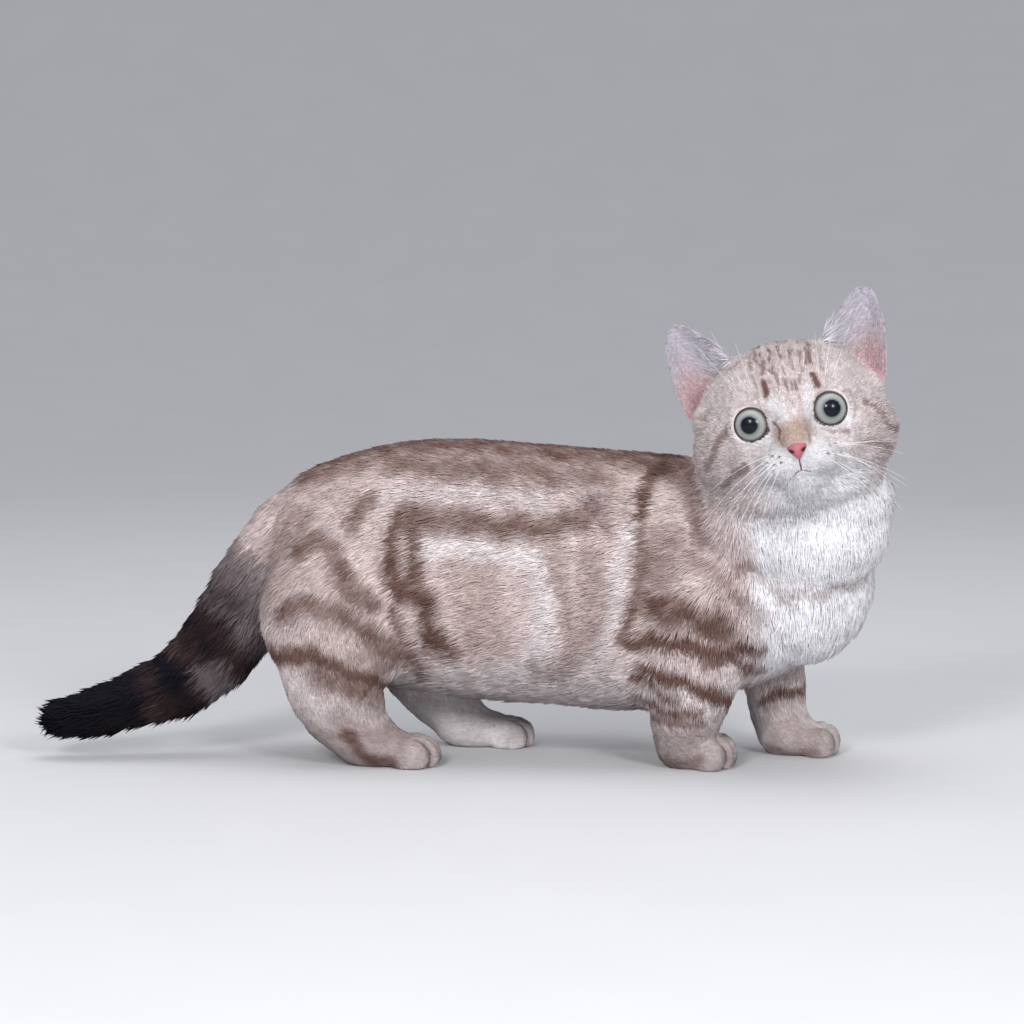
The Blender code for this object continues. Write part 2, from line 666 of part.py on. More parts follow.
def face_pieces(head):
    """Sets the ears, eyes and nose in the head and draws the line of the mouth."""
    pieces = []
    hollows = both_sides(EAR_HOLLOW, 2)
    nostrils = both_sides(NOSTRIL, 2)
    for cutter in hollows + nostrils:
        cutter.data.transform(head_frame())
    carve(head, hollows)
    for side, sideways in (("left", 1), ("right", -1)):
        leaf = ear(f"ear_{side}", sideways)
        eyeball = ball(f"eye_{side}", eye_spot(sideways), (EYE_RADIUS,) * 3, rounds=3)
        carve(head, [socket_for(leaf), eye_opening(sideways), socket_for(eyeball)])
        carve(head, [groove_line(head, MOUTH_LINE[1:], sideways)])
        pieces += [leaf, eyeball]
    nose = nose_leather("nose")
    carve(head, [groove_line(head, MOUTH_LINE[:2], 1), socket_for(nose)])
    carve(nose, nostrils)
    return pieces + [nose]


def parted(body):
    """The named pieces of the fused animal."""
    pieces = [part_off(body, spec.name, foot_region(spec)) for spec in FEET]
    for name, stations in (("shank_right", SHANK_RIGHT), ("shank_left", SHANK_LEFT),
                           ("foreleg_right", FORELEG_RIGHT), ("foreleg_left", FORELEG_LEFT)):
        pieces.append(part_off(body, name, leg_region(stations)))
    for mass in THIGHS:
        region = ball("region", *mass[1:], rounds=2, margin=THIGH_MARGIN)
        pieces.append(part_off(body, mass.name, region))
    pieces.append(part_off(body, "tail_tip", half_space(*TAIL_TIP_CUT)))
    pieces.append(part_off(body, "tail_middle", half_space(*TAIL_MIDDLE_CUT)))
    pieces.append(part_off(body, "tail_base", leg_region(TAIL[2:5])))
    skull = ball(*SKULL, rounds=3)
    skull.data.transform(head_frame())
    head = part_off(body, "head", skull)
    pieces.append(head)
    pieces.append(part_off(body, "neck", half_space(*NECK_CUT)))
    pieces.append(part_off(body, "chest", half_space(*CHEST_CUT)))
    pieces.append(part_off(body, "rump", half_space(*RUMP_CUT)))
    body.name = "abdomen"
    pieces.append(body)
    return pieces + face_pieces(head)


def colour_of(name):
    """The name and looks of the surface that a piece has."""
    if name.startswith("eye"):
        return "eye_gloss", PALE_GREEN, 0.1
    if name == "nose":
        return "nose_leather", PINK, 0.5
    if name in ("tail_tip", "tail_middle"):
        return "dark_coat", BLACK, 0.9
    if name in ("neck", "forepaw_left", "hind_foot_left"):
        return "cream_coat", CREAM, 0.9
    return "fawn_coat", FAWN, 0.9


def main():
    clear_scene()
    for piece in parted(fused_animal()):
        piece.data.transform(Matrix.Translation(-MIDDLE))
        piece.data.materials.clear()
        piece.data.materials.append(finish(*colour_of(piece.name)))
        piece.data.shade_smooth()
        piece.data.set_sharp_from_angle(angle=math.radians(50))


main()
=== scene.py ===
"""A standing munchkin kitten: skin, coat, eyes, nose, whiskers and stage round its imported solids."""

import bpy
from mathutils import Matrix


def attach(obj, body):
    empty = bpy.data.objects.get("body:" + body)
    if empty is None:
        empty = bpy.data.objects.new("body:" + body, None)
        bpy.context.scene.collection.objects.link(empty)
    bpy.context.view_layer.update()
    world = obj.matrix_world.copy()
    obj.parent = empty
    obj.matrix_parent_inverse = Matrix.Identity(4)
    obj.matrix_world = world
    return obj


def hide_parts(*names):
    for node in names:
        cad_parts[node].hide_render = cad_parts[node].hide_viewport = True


bl_info = {
    "name": "Munchkin kitten",
    "version": (1, 0, 0),
    "blender": (4, 5, 0),
    "location": "View3D > Sidebar > Kitten",
    "description": "Skin, coat, eyes, nose, ears, whiskers and stage of a standing kitten",
    "category": "Add Mesh",
}

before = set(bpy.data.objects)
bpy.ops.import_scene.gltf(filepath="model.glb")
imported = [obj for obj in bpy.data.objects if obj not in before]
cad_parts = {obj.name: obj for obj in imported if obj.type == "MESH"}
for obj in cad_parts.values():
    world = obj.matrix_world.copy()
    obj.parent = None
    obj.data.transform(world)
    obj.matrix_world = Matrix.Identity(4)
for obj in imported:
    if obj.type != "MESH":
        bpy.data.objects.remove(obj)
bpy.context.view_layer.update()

import math

import bmesh
import bpy
import numpy as np
from mathutils import Matrix, Vector
from mathutils.bvhtree import BVHTree

MM = 0.001

# Where the head is held: its middle, and its turns about Z, X and Y
HEAD_MIDDLE = Vector((0.1419, -0.0288, 0.1575))
HEAD_TURNS = (math.radians(-5.5), math.radians(-3.0), math.radians(-12.0))
HEAD = (
    Matrix.Translation(HEAD_MIDDLE)
    @ Matrix.Rotation(HEAD_TURNS[0], 4, "Z")
    @ Matrix.Rotation(HEAD_TURNS[1], 4, "X")
    @ Matrix.Rotation(HEAD_TURNS[2], 4, "Y")
)
HEAD_BACK = np.array(HEAD.inverted())
HEAD_TURN = np.array(HEAD.to_3x3())

AIM = Vector((0.0214, 0.0182, 0.112))  # the camera looks over the kitten at this point

EYE_APART = 0.0318
EYE_FORWARD = 0.0222
SPLAY = math.radians(12)
LID_EDGE = 0.0009  # skin this far inside the opening is drawn out to its edge
NOSE_TIP = np.array((0.0, -0.0440, -0.0140))

FLESH = [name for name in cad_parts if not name.startswith(("eye_", "nose"))]

EARS = ("ear_left", "ear_right")
HEAD_PARTS = ("head", *EARS)
TAIL_PARTS = ("tail_base", "tail_middle", "tail_tip")

# Coat by part: depth of the coat, length and width of a tuft in mm, and how often tufts overlap
COAT = {
    "head": (1.0, 3.0, 0.30, 2.5),
    "neck": (2.1, 7.6, 0.36, 3.3),
    "chest": (2.1, 7.8, 0.37, 3.3),
    "abdomen": (2.0, 8.0, 0.38, 3.1),
    "rump": (2.0, 8.0, 0.38, 3.1),
    "tail_base": (2.6, 11.5, 0.44, 3.2),
    "tail_middle": (3.0, 12.5, 0.44, 3.3),
    "tail_tip": (3.0, 11.0, 0.44, 3.3),
}
for part, sizes in (
    ("ear", (0.20, 1.1, 0.24, 2.2)),
    ("thigh", (1.8, 7.2, 0.37, 3.1)),
    ("shank", (1.0, 4.6, 0.33, 3.0)),
    ("foreleg", (1.5, 6.2, 0.35, 3.0)),
    ("hind_foot", (0.4, 2.2, 0.31, 2.2)),
    ("forepaw", (0.4, 2.2, 0.31, 2.2)),
):
    COAT[part + "_left"] = COAT[part + "_right"] = sizes

# Markings on the body: darkness (below 0 paler), half width, then points as seen from the side (X, Z), in mm
BODY_STROKES = (
    # Back, and the ring on the flank
    (0.78, 7.5, ((-70, 132), (-40, 141), (0, 143), (40, 141), (80, 138), (98, 134))),
    (0.68, 5.7, ((-31, 135), (-6, 133), (16, 131), (43, 130), (65, 129))),
    (0.72, 5.0, ((-24, 113), (-6, 111), (16, 109), (38, 108), (56, 112), (62, 118))),
    (0.85, 3.1, ((-27, 114), (-31, 104), (-32, 94), (-30, 85), (-25, 80))),
    (0.80, 3.1, ((-24, 111), (-20, 102), (-21, 89), (-25, 81))),
    (0.90, 4.0, ((-23, 81), (-15, 77), (-15, 67), (-11, 58), (-5, 54))),
    (0.70, 3.1, ((-31, 74), (-29, 63), (-23, 53), (-16, 42))),
    (0.26, 10.6, ((5, 89), (8, 77), (11, 59))),
    (0.45, 3.1, ((41, 105), (45, 92), (48, 77), (52, 59), (50, 44))),
    # Shoulder
    (0.45, 5.7, ((60, 97), (62, 77), (60, 59))),
    (0.95, 1.9, ((97, 137), (90, 131), (84, 123), (82, 113))),
    (0.75, 2.2, ((82, 108), (82, 95), (79, 81), (78, 72), (73, 61))),
    (0.55, 2.6, ((72, 134), (68, 121), (66, 108))),
    (0.90, 3.1, ((85, 80), (98, 77), (108, 69))),
    (0.55, 7.5, ((86, 96), (89, 88), (93, 103))),
    # Forelegs
    (0.95, 2.4, ((77, 61), (88, 63), (99, 60), (113, 58), (128, 61))),
    (0.80, 1.8, ((105, 53), (116, 56), (131, 48))),
    (0.95, 2.4, ((83, 49), (93, 45), (104, 42), (113, 36), (120, 33))),
    (0.80, 1.4, ((79, 44), (85, 40), (92, 36))),
    (0.80, 1.2, ((80, 33), (89, 31), (104, 30))),
    (0.70, 1.0, ((85, 27), (96, 26), (105, 25))),
    (0.85, 1.4, ((136, 29), (141, 30), (153, 33), (162, 37))),
    # Thigh
    (0.74, 4.0, ((-73, 98), (-65, 104), (-59, 100), (-55, 91), (-50, 83), (-42, 76))),
    (0.74, 4.4, ((-79, 73), (-72, 77), (-59, 74), (-50, 70), (-43, 63), (-32, 55), (-23, 50))),
    (0.86, 4.4, ((-87, 54), (-72, 55), (-59, 48), (-50, 43), (-40, 40))),
    (0.74, 8.0, ((-64, 46), (-54, 42), (-41, 37))),
    (0.86, 6.5, ((87, 76), (100, 74), (114, 69))),
    (0.50, 4.4, ((-52, 53), (-40, 56))),
    (0.60, 4.0, ((-41, 48), (-28, 52), (-17, 46))),
    # Rump and root of the tail
    (0.70, 3.1, ((-49, 110), (-44, 117), (-40, 121))),
    (0.22, 16.0, ((-72, 88), (-60, 68), (-52, 52))),
    (0.46, 8.0, ((-72, 112), (-84, 97), (-92, 80))),
    (0.32, 10.0, ((-78, 114), (-69, 123), (-55, 129), (-42, 135))),
    (0.25, 6.2, ((-86, 91), (-79, 86), (-83, 75))),
    # Belly, neck and breast
    # Along the belly's lower edge: partly dark fur, partly painted shade under the belly
    (0.40, 2.4, ((-1, 30), (12, 29), (29, 29))),
    (0.45, 2.6, ((34, 48), (49, 42), (54, 50))),
    (0.60, 4.0, ((101, 133), (103, 121), (107, 104))),
    (0.50, 3.1, ((103, 97), (114, 90), (124, 82), (131, 74))),
    (0.62, 2.6, ((122, 96), (131, 90), (139, 85), (148, 84), (159, 86), (174, 89))),
    (0.30, 2.6, ((127, 70), (138, 66), (147, 60))),
    # Feet
    (0.80, 2.4, ((-56, 17), (-52, 10), (-47, 5), (-36, 2))),
    (0.32, 5.3, ((-59, 29), (-49, 19), (-35, 14))),
    (0.50, 2.0, ((86, 4), (92, 2), (101, 5))),
    (0.45, 1.4, ((138, 4), (146, 1), (157, 3))),
    # Pale bands between the dark ones
    (-0.50, 2.8, ((-30, 123), (-6, 123), (16, 122), (37, 120))),
    (-0.75, 4.0, ((-15, 100), (3, 100), (24, 98), (36, 94), (39, 77), (38, 59), (33, 48), (16, 41))),
    (-0.60, 3.1, ((76, 107), (75, 94), (70, 76), (65, 55))),
    (-0.60, 3.1, ((49, 130), (60, 126), (64, 120))),
)

# Markings on the head in its own axes: darkness (below 0 paler), half width, then points (X, Y, Z), in mm
HEAD_STROKES = (
    # Spots over the eyes and stripes of the brow
    (0.95, 1.0, ((-8.2, -26.7, 15.9), (-7.9, -28.3, 13.2), (-7.6, -29.7, 10.1))),
    (0.90, 1.0, ((12.2, -26.4, 14.7), (12.6, -27.5, 12.4), (12.9, -28.4, 9.7))),
    (0.60, 0.6, ((-9.8, -6.6, 30.5), (-9.6, -15.2, 26.7), (-9.2, -19.4, 24.0))),
    (0.65, 0.7, ((-6.4, -18.7, 25.1), (-6.6, -22.6, 21.7), (-7.9, -24.4, 19.3))),
    (0.60, 0.6, ((-4.6, -23.8, 20.8), (-2.2, -26.5, 17.7), (-1.9, -29.3, 12.8))),
    (0.55, 0.6, ((6.1, -12.7, 28.8), (4.8, -19.9, 24.5), (4.5, -23.5, 21.1))),
    (0.50, 0.5, ((0.4, -27.8, 15.8), (1.5, -29.3, 13.0))),
    (0.55, 0.5, ((2.9, -29.1, 13.1), (3.1, -30.5, 10.0))),
    (0.55, 0.5, ((6.8, -27.4, 15.3), (6.1, -29.2, 12.0))),
    (0.65, 0.7, ((11.3, -14.5, 26.8), (12.2, -19.5, 23.0), (10.7, -23.2, 19.8))),
    (0.55, 0.6, ((8.2, -23.6, 20.3), (8.3, -26.2, 16.8))),
    # Crown and temple
    (0.50, 1.2, ((-9.8, -6.6, 30.5), (-9, 4, 32), (-8, 16, 29), (-6, 28, 22))),
    (0.50, 1.2, ((13.0, -12.4, 27.3), (11, 0, 31), (9, 14, 30), (7, 28, 22))),
    (0.45, 1.4, ((2.0, -8.0, 31.0), (1, 4, 33), (1, 18, 30), (1, 30, 20))),
    (0.50, 1.0, ((-15.6, -10.8, 27.2), (-19.5, -10.7, 25.4), (-22.4, -9.6, 24.3))),
    # Cheeks
    (0.58, 1.3, ((-26.2, -23.3, -0.3), (-30.5, -21.1, -3.8), (-34.4, -19.9, -10.0), (-38.2, -15.7, -15.4))),
    (0.55, 1.5, ((-22.2, -28.2, -17.1), (-27.5, -22.1, -19.2), (-32.9, -15.4, -23.5))),
    (0.45, 1.1, ((-34.8, -11.3, 6.2), (-40.4, 4.2, 6.0))),
    (0.62, 1.2, ((30.7, -19.5, -0.4), (34.5, -18.3, -3.3), (37.1, -17.5, -7.8), (38.3, -16.3, -12.4),
        (42.8, -7.4, -15.5))),
    (0.52, 1.3, ((29.1, -22.1, -16.5), (33.9, -18.1, -18.9), (37.8, -10.9, -22.3))),
    # Beside the nose, and the jaw
    (0.80, 0.5, ((-6.7, -32.4, -2.1), (-5.2, -36.2, -5.4), (-6.3, -35.9, -8.6))),
    (0.50, 0.7, ((10.6, -30.4, -3.6), (11.2, -29.9, -7.1), (14.8, -30.4, -10.0), (21.5, -29.5, -11.0))),
    (0.42, 0.7, ((-6.2, -37.5, -9.0), (-5.4, -40.5, -12.2))),
    (0.42, 0.7, ((6.2, -37.5, -9.0), (5.4, -40.5, -12.2))),
    (0.30, 1.8, ((-42.6, -8.5, -14.6), (-43.5, 1.7, -28.0))),
    # Pale fur round the eyes
    (-0.95, 1.3, ((-6.2, -31.0, 6.4), (-3.7, -33.8, 2.0), (-2.5, -37.4, -2.6))),
    (-0.90, 1.1, ((8.9, -29.4, 9.2), (8.2, -30.7, 5.5), (7.3, -31.6, -0.7))),
    (-0.90, 1.2, ((-23.2, -26.0, -2.6), (-17.3, -29.9, -7.7), (-10.7, -31.2, -9.1))),
    (-0.90, 1.2, ((11.5, -29.9, -5.5), (17.3, -29.8, -8.4), (24.4, -25.5, -5.6))),
)

# Dark spots at the roots of the whiskers, in the head's own axes, in mm
WHISKER_SPOTS = (
    (-10.1, -38.5, -14.7), (-7.3, -40.0, -15.7), (-12.2, -39.1, -16.8), (-9.5, -40.6, -18.2),
    (-10.8, -40.2, -20.5), (-6.9, -40.8, -17.9), (12.9, -37.4, -15.1), (15.5, -33.6, -14.9),
    (11.4, -39.9, -17.8), (14.3, -38.1, -18.4), (14.5, -37.0, -21.9), (17.3, -32.7, -18.7),
)

# Whiskers and brow hairs: X and Z of the root on the face in mm, side, droop in degrees, length in mm, curl
WHISKERS = (
    (-10.0, -14.7, -1, 18, 40, 0.30), (-12.0, -16.6, -1, 30, 44, 0.34), (-9.5, -18.0, -1, 36, 42, 0.42),
    (-10.8, -20.3, -1, 44, 38, 0.36), (-7.2, -15.8, -1, 24, 36, 0.40), (-7.0, -17.9, -1, 52, 32, 0.30),
    (-12.4, -19.0, -1, 22, 34, 0.26), (-11.6, -14.2, -1, 6, 30, 0.24),
    (12.8, -15.1, 1, 2, 30, 0.10), (15.4, -15.0, 1, 8, 29, 0.20), (11.4, -17.8, 1, 14, 33, 0.30),
    (14.2, -18.4, 1, 24, 32, 0.24), (14.4, -21.8, 1, 34, 30, 0.34), (17.2, -18.6, 1, 30, 26, 0.30),
    (12.2, -20.2, 1, 42, 30, 0.30), (16.2, -16.6, 1, -4, 26, 0.12),
    (-15.0, 12.5, -1, -68, 30, -0.10), (-17.5, 11.5, -1, -56, 26, -0.10), (-13.0, 13.0, -1, -80, 22, -0.06),
    (17.0, 12.5, 1, -70, 30, -0.05), (19.5, 11.0, 1, -58, 24, -0.08), (15.0, 13.2, 1, -84, 20, -0.04),
)

# Feet in mm: x and y of the pad's middle, heading in degrees, length, width and height
FEET = (
    (102.9, -2.3, 18, 36.0, 29.0, 18.5),
    (152.9, 31.2, 6, 36.0, 28.0, 18.0),
    (-35.1, 0.7, 8, 48.0, 26.0, 18.0),
    (8.4, 53.2, 2, 46.0, 25.0, 17.5),
)

# The tail's middle line in mm, from root to tip
TAIL_LINE = np.array((
    (-57, 28, 112), (-75, 28, 99), (-90, 28, 81), (-102, 27, 64), (-115, 26, 47),
    (-130, 24, 34.5), (-149, 22, 27), (-167, 20, 21.5), (-180, 19, 19),
), dtype=float)

# The tail's rings: how far along the tail in mm, and how dark there; past 1 the fur turns black
TAIL_RINGS = (
    (0, 0.30), (30, 0.50), (48, 0.66), (56, 0.86), (62, 0.74), (70, 1.15), (78, 1.45), (84, 0.95),
    (92, 0.85), (97, 1.7), (103, 2.0), (108, 1.25), (116, 1.15), (121, 2.0), (127, 2.0), (150, 2.0),
)


class CoatSettings(bpy.types.PropertyGroup):
    """Colours and sizes of the coat."""

    ground: bpy.props.FloatVectorProperty(
        name="Ground", description="Pale fur between the bands", subtype="COLOR",
        default=(0.600, 0.500, 0.492), min=0, max=1)
    band: bpy.props.FloatVectorProperty(
        name="Bands", description="Brown fur of the bands", subtype="COLOR",
        default=(0.130, 0.068, 0.055), min=0, max=1)
    white: bpy.props.FloatVectorProperty(
        name="White", description="Fur of the bib, chin and muzzle", subtype="COLOR",
        default=(0.860, 0.850, 0.880), min=0, max=1)
    dark: bpy.props.FloatVectorProperty(
        name="Dark", description="Fur of the tail's end", subtype="COLOR",
        default=(0.006, 0.006, 0.010), min=0, max=1)
    tan: bpy.props.FloatVectorProperty(
        name="Tan", description="Warm fur over the nose and on the shanks", subtype="COLOR",
        default=(0.470, 0.340, 0.280), min=0, max=1)
    pink: bpy.props.FloatVectorProperty(
        name="Pink skin", description="Skin inside the ears", subtype="COLOR",
        default=(0.620, 0.350, 0.370), min=0, max=1)
    seed: bpy.props.IntProperty(
        name="Seed", description="Start of the random draws", default=7, min=0)
    grain: bpy.props.FloatProperty(
        name="Skin grain", description="Size of the skin's faces", default=0.00105, min=0.0006,
        max=0.003, subtype="DISTANCE", unit="LENGTH")


class FaceSettings(bpy.types.PropertyGroup):
    """Sizes and colours of the eyes, the lids and the nose."""

    eye_radius: bpy.props.FloatProperty(
        name="Eye radius", description="Radius of the eyeball", default=0.0088, min=0.004, max=0.02,
        subtype="DISTANCE", unit="LENGTH")
    opening: bpy.props.FloatProperty(
        name="Opening", description="Radius of the opening between the lids", default=0.0073,
        min=0.003, max=0.012, subtype="DISTANCE", unit="LENGTH")
    iris_radius: bpy.props.FloatProperty(
        name="Iris", description="Radius of the iris", default=0.0068, min=0.003, max=0.012,
        subtype="DISTANCE", unit="LENGTH")
    pupil_radius: bpy.props.FloatProperty(
        name="Pupil", description="Radius of the pupil", default=0.0037, min=0.001, max=0.008,
        subtype="DISTANCE", unit="LENGTH")
    iris: bpy.props.FloatVectorProperty(
        name="Iris colour", description="Colour of the iris", subtype="COLOR",
        default=(0.262, 0.286, 0.280), min=0, max=1)
    nose: bpy.props.FloatVectorProperty(
        name="Nose", description="Colour of the nose leather", subtype="COLOR",
        default=(0.430, 0.130, 0.160), min=0, max=1)
    rim: bpy.props.FloatVectorProperty(
        name="Lid rims", description="Colour of the bare rims of the lids", subtype="COLOR",
        default=(0.045, 0.025, 0.022), min=0, max=1)


class StageSettings(bpy.types.PropertyGroup):
    """Camera, floor and light."""

    distance: bpy.props.FloatProperty(
        name="Camera distance", description="From the camera to the kitten", default=1.30, min=0.3,
        max=5, subtype="DISTANCE", unit="LENGTH")
    elevation: bpy.props.FloatProperty(
        name="Camera elevation", description="Angle above the level", default=math.radians(5),
        min=0, max=1.5, subtype="ANGLE", unit="ROTATION")
    view_width: bpy.props.FloatProperty(
        name="View width", description="Width seen at the kitten", default=0.461, min=0.1, max=3,
        subtype="DISTANCE", unit="LENGTH")
    floor: bpy.props.FloatVectorProperty(
        name="Floor", description="Colour of the floor", subtype="COLOR",
        default=(0.60, 0.60, 0.62), min=0, max=1)


def deselect():
    for thing in bpy.context.selected_objects:
        thing.select_set(False)


def choose(*things):
    """Selects only these and makes the first one active."""
    deselect()
    for thing in things:
        thing.select_set(True)
    bpy.context.view_layer.objects.active = things[0]


def smooth_step(low, high, value):
    t = np.clip((value - low) / (high - low), 0.0, 1.0)
    return t * t * (3 - 2 * t)


def unit(vectors):
    length = np.linalg.norm(vectors, axis=1, keepdims=True)
    return vectors / np.maximum(length, 1e-12)


def to_head(points):
    """Points in metres in the head's own axes."""
    return points @ HEAD_BACK[:3, :3].T + HEAD_BACK[:3, 3]


def ripple(points, scale, seed, waves=8):
    """A smooth random value from about -1 to 1 at each point; scale is its waves' length in metres."""
    rng = np.random.default_rng(seed)
    directions = unit(rng.normal(size=(waves, 3))) * (2 * math.pi / scale) * rng.uniform(0.6, 1.5, (waves, 1))
    phase = rng.uniform(0, 2 * math.pi, waves)
    return np.sin(points @ directions.T + phase).sum(axis=1) / math.sqrt(waves / 2) * 0.6


def nearest_on_line(points, line):
    """How far each point is from a row of points, and how far along the row its nearest spot lies."""
    best, reach, run = np.full(len(points), np.inf), np.zeros(len(points)), 0.0
    line = np.array(line, dtype=float)
    for a, b in zip(line, line[1:]):
        step = b - a
        length = np.linalg.norm(step)
        t = np.clip(((points - a) @ step) / (length * length), 0, 1)
        gap = np.linalg.norm(points - (a + t[:, None] * step), axis=1)
        nearer = gap < best
        reach = np.where(nearer, run + t * length, reach)
        best = np.where(nearer, gap, best)
        run += length
    return best, reach


def distance_to_line(points, line):
    return nearest_on_line(points, line)[0]


def along_tail(points):
    """How far along the tail's middle line each point lies, in mm."""
    return nearest_on_line(points, TAIL_LINE)[1]


def lies_on(zones, *names):
    """Which points lie on these parts."""
    return np.isin(zones, [FLESH.index(name) for name in names])


def placed(points, place):
    """Points moved by a matrix."""
    place = np.array(place)
    return points @ place[:3, :3].T + place[:3, 3]


def blend(low, high, share):
    return low + (high - low) * share[:, None]


def eye_frame(sideways):
    """From an eye's own axes, looking along +Z, to its place in the head."""
    place = Matrix.Translation((sideways * EYE_APART / 2, -EYE_FORWARD, 0))
    turn = Matrix.Rotation(sideways * SPLAY, 4, "Z") @ Matrix.Rotation(math.radians(90), 4, "X")
    return HEAD @ place @ turn


def in_eye_frame(points, sideways):
    return placed(points, eye_frame(sideways).inverted())


def all_values(items, field, width, kind=float):
    """One value, or a row of that width, from each item of a mesh."""
    flat = np.empty(len(items) * width, dtype=kind)
    items.foreach_get(field, flat)
    return flat.reshape(-1, width) if width > 1 else flat


def vertex_array(mesh):
    return all_values(mesh.vertices, "co", 3)


def normal_array(mesh):
    return all_values(mesh.vertex_normals, "vector", 3)


def move_vertices(mesh, points):
    mesh.vertices.foreach_set("co", points.astype(np.float32).ravel())
    mesh.update()


def keep_values(mesh, name, values, kind):
    """Stores one value for each vertex under this name."""
    layer = mesh.attributes.new(name, kind, "POINT")
    field = {"FLOAT": "value", "FLOAT_VECTOR": "vector", "FLOAT_COLOR": "color"}[kind]
    layer.data.foreach_set(field, np.ascontiguousarray(values, dtype=np.float32).ravel())


def read_values(mesh, name, width):
    field = {1: "value", 3: "vector"}[width]
    return all_values(mesh.attributes[name].data, field, width, np.float32)


def mesh_from_arrays(name, points, triangles):
    mesh = bpy.data.meshes.new(name)
    mesh.vertices.add(len(points))
    mesh.vertices.foreach_set("co", np.ascontiguousarray(points, dtype=np.float32).ravel())
    mesh.loops.add(len(triangles) * 3)
    mesh.loops.foreach_set("vertex_index", np.ascontiguousarray(triangles, dtype=np.int32).ravel())
    mesh.polygons.add(len(triangles))
    mesh.polygons.foreach_set("loop_start", np.arange(0, len(triangles) * 3, 3, dtype=np.int32))
    mesh.polygons.foreach_set("use_smooth", np.ones(len(triangles), dtype=bool))
    mesh.update(calc_edges=True)
    return mesh


def linked(mesh):
    piece = bpy.data.objects.new(mesh.name, mesh)
    bpy.context.scene.collection.objects.link(piece)
    return piece


def new_ball(name, segments, rings, radius):
    """A smooth ball at the origin, with its default map."""
    deselect()
    bpy.ops.mesh.primitive_uv_sphere_add(segments=segments, ring_count=rings, radius=radius)
    ball = bpy.context.active_object
    ball.name = ball.data.name = name
    bpy.ops.object.shade_smooth()
    return ball


def toe_gaps(points):
    """Distance in mm from each point to the nearest gap between two toes, and how far it is over the toes."""
    nearest = np.full(len(points), 99.0)
    over = np.zeros(len(points))
    for x, y, turn, length, width, height in FEET:
        a = math.radians(turn)
        ahead = np.array((math.cos(a), -math.sin(a)))
        aside = np.array((-ahead[1], ahead[0]))
        away = points[:, :2] / MM - (x, y)
        forth, across, z = away @ ahead, away @ aside, points[:, 2] / MM
        mine = (np.hypot(forth / (length * 0.75), across / (width * 0.75)) < 1) & (z < height * 1.3)
        reach = smooth_step(length * 0.20, length * 0.34, forth + 0.25 * (height - z)) * mine
        reach = reach * (1 - smooth_step(height * 0.60, height * 0.88, z))
        over = np.maximum(over, reach)
        fan = 1 + 0.012 * (forth - length * 0.35)
        for slot in (-2 / 3, 0, 2 / 3):
            gap = np.abs(across - slot * width * 0.345 * fan)
            nearest = np.where(mine, np.minimum(nearest, gap), nearest)
    return nearest, over


def wavering(points):
    """Small smooth shifts in mm that keep the markings' edges from being straight."""
    wide, narrow = (
        np.stack([ripple(points, scale, seed) for seed in seeds], axis=1)
        for scale, seeds in ((0.016, (1, 2, 3)), (0.006, (4, 5, 6))))
    return wide * 1.3 + narrow * 0.35


def tabby_marks(side, patchy):
    """Darkness and paleness from the body's strokes at each (X, Z) in mm."""
    shade, lift = np.zeros(len(side)), np.zeros(len(side))
    for darkness, half_width, line in BODY_STROKES:
        mask = 1 - smooth_step(half_width * 0.15, half_width * 1.85 + 2.0, distance_to_line(side, line))
        if darkness > 0:
            shade = np.maximum(shade, mask * darkness * patchy * 1.18)
        else:
            lift = np.maximum(lift, -mask * darkness)
    return shade, lift


def body_fur(points, wobble, coat):
    """Colour and darkness of the fur of the trunk and legs."""
    ground, white, tan = (np.array(c) for c in (coat.ground, coat.white, coat.tan))
    mm = points / MM
    x, y, z = (mm + wobble).T
    side = np.stack([x - 3.5 * (1 - smooth_step(0, 60, mm[:, 0])), z], axis=1)
    patchy = 1 + 0.09 * ripple(points, 0.010, 8) + 0.07 * ripple(points, 0.004, 9)
    shade, lift = tabby_marks(side, patchy)
    ticking = 0.10 + 0.20 * smooth_step(95, 135, z)
    ticking = ticking + 0.07 * ripple(points, 0.03, 11) + 0.05 * ripple(points, 0.008, 12)
    shade = np.maximum(shade, np.clip(ticking, 0, 1))

    colour = np.repeat(ground[None], len(points), axis=0)
    patch = 1 - smooth_step(5, 22, distance_to_line(side, ((5, 86), (9, 72), (13, 56))))
    colour = blend(colour, ground * 0.72 + tan * 0.24, patch * 0.8)
    belly = 1 - smooth_step(34, 60, z)
    colour = blend(colour, ground * 0.5 + white * 0.5, belly * 0.55 * (x < 135))
    colour = blend(colour, ground * 0.45 + white * 0.53, lift)

    forth, across = x * 0.82 - y * 0.57, (x - 150) * 0.57 + (y + 4) * 0.82
    facing = smooth_step(108, 121, forth) * (1 - smooth_step(12, 28, across))
    breast = smooth_step(120, 133, x) * smooth_step(6, 26, z) * facing
    throat = smooth_step(113, 131, x + 0.25 * (z - 110)) * smooth_step(96, 108, z)
    throat *= 1 - smooth_step(-14, 6, y)
    bib = np.clip(breast + throat * facing * 0.75, 0, 1)
    colour = blend(colour, white, bib)
    shade = np.where(bib > 0.02, np.maximum(shade - 0.20 * bib, 0), shade)

    low, far = 1 - smooth_step(14, 40, z), smooth_step(18, 30, y)
    colour = blend(colour, white * 0.72 + tan * 0.20, low * far * 0.80)
    near = low * (1 - far) * (1 - smooth_step(20, 38, z) * 0.3)
    colour = blend(colour, ground * 0.54 + tan * 0.05, near * 0.85)
    gap, over = toe_gaps(points)
    # Painted shade in the gaps between the toes, which are also carved into the skin; it joins the darkness
    # on return
    toes = np.exp(-(gap / 0.8) ** 2) * over
    colour = blend(colour, ground * 0.58 + white * 0.12, over * (1 - toes) * 0.55)
    return colour, np.maximum(shade, toes * 0.85)


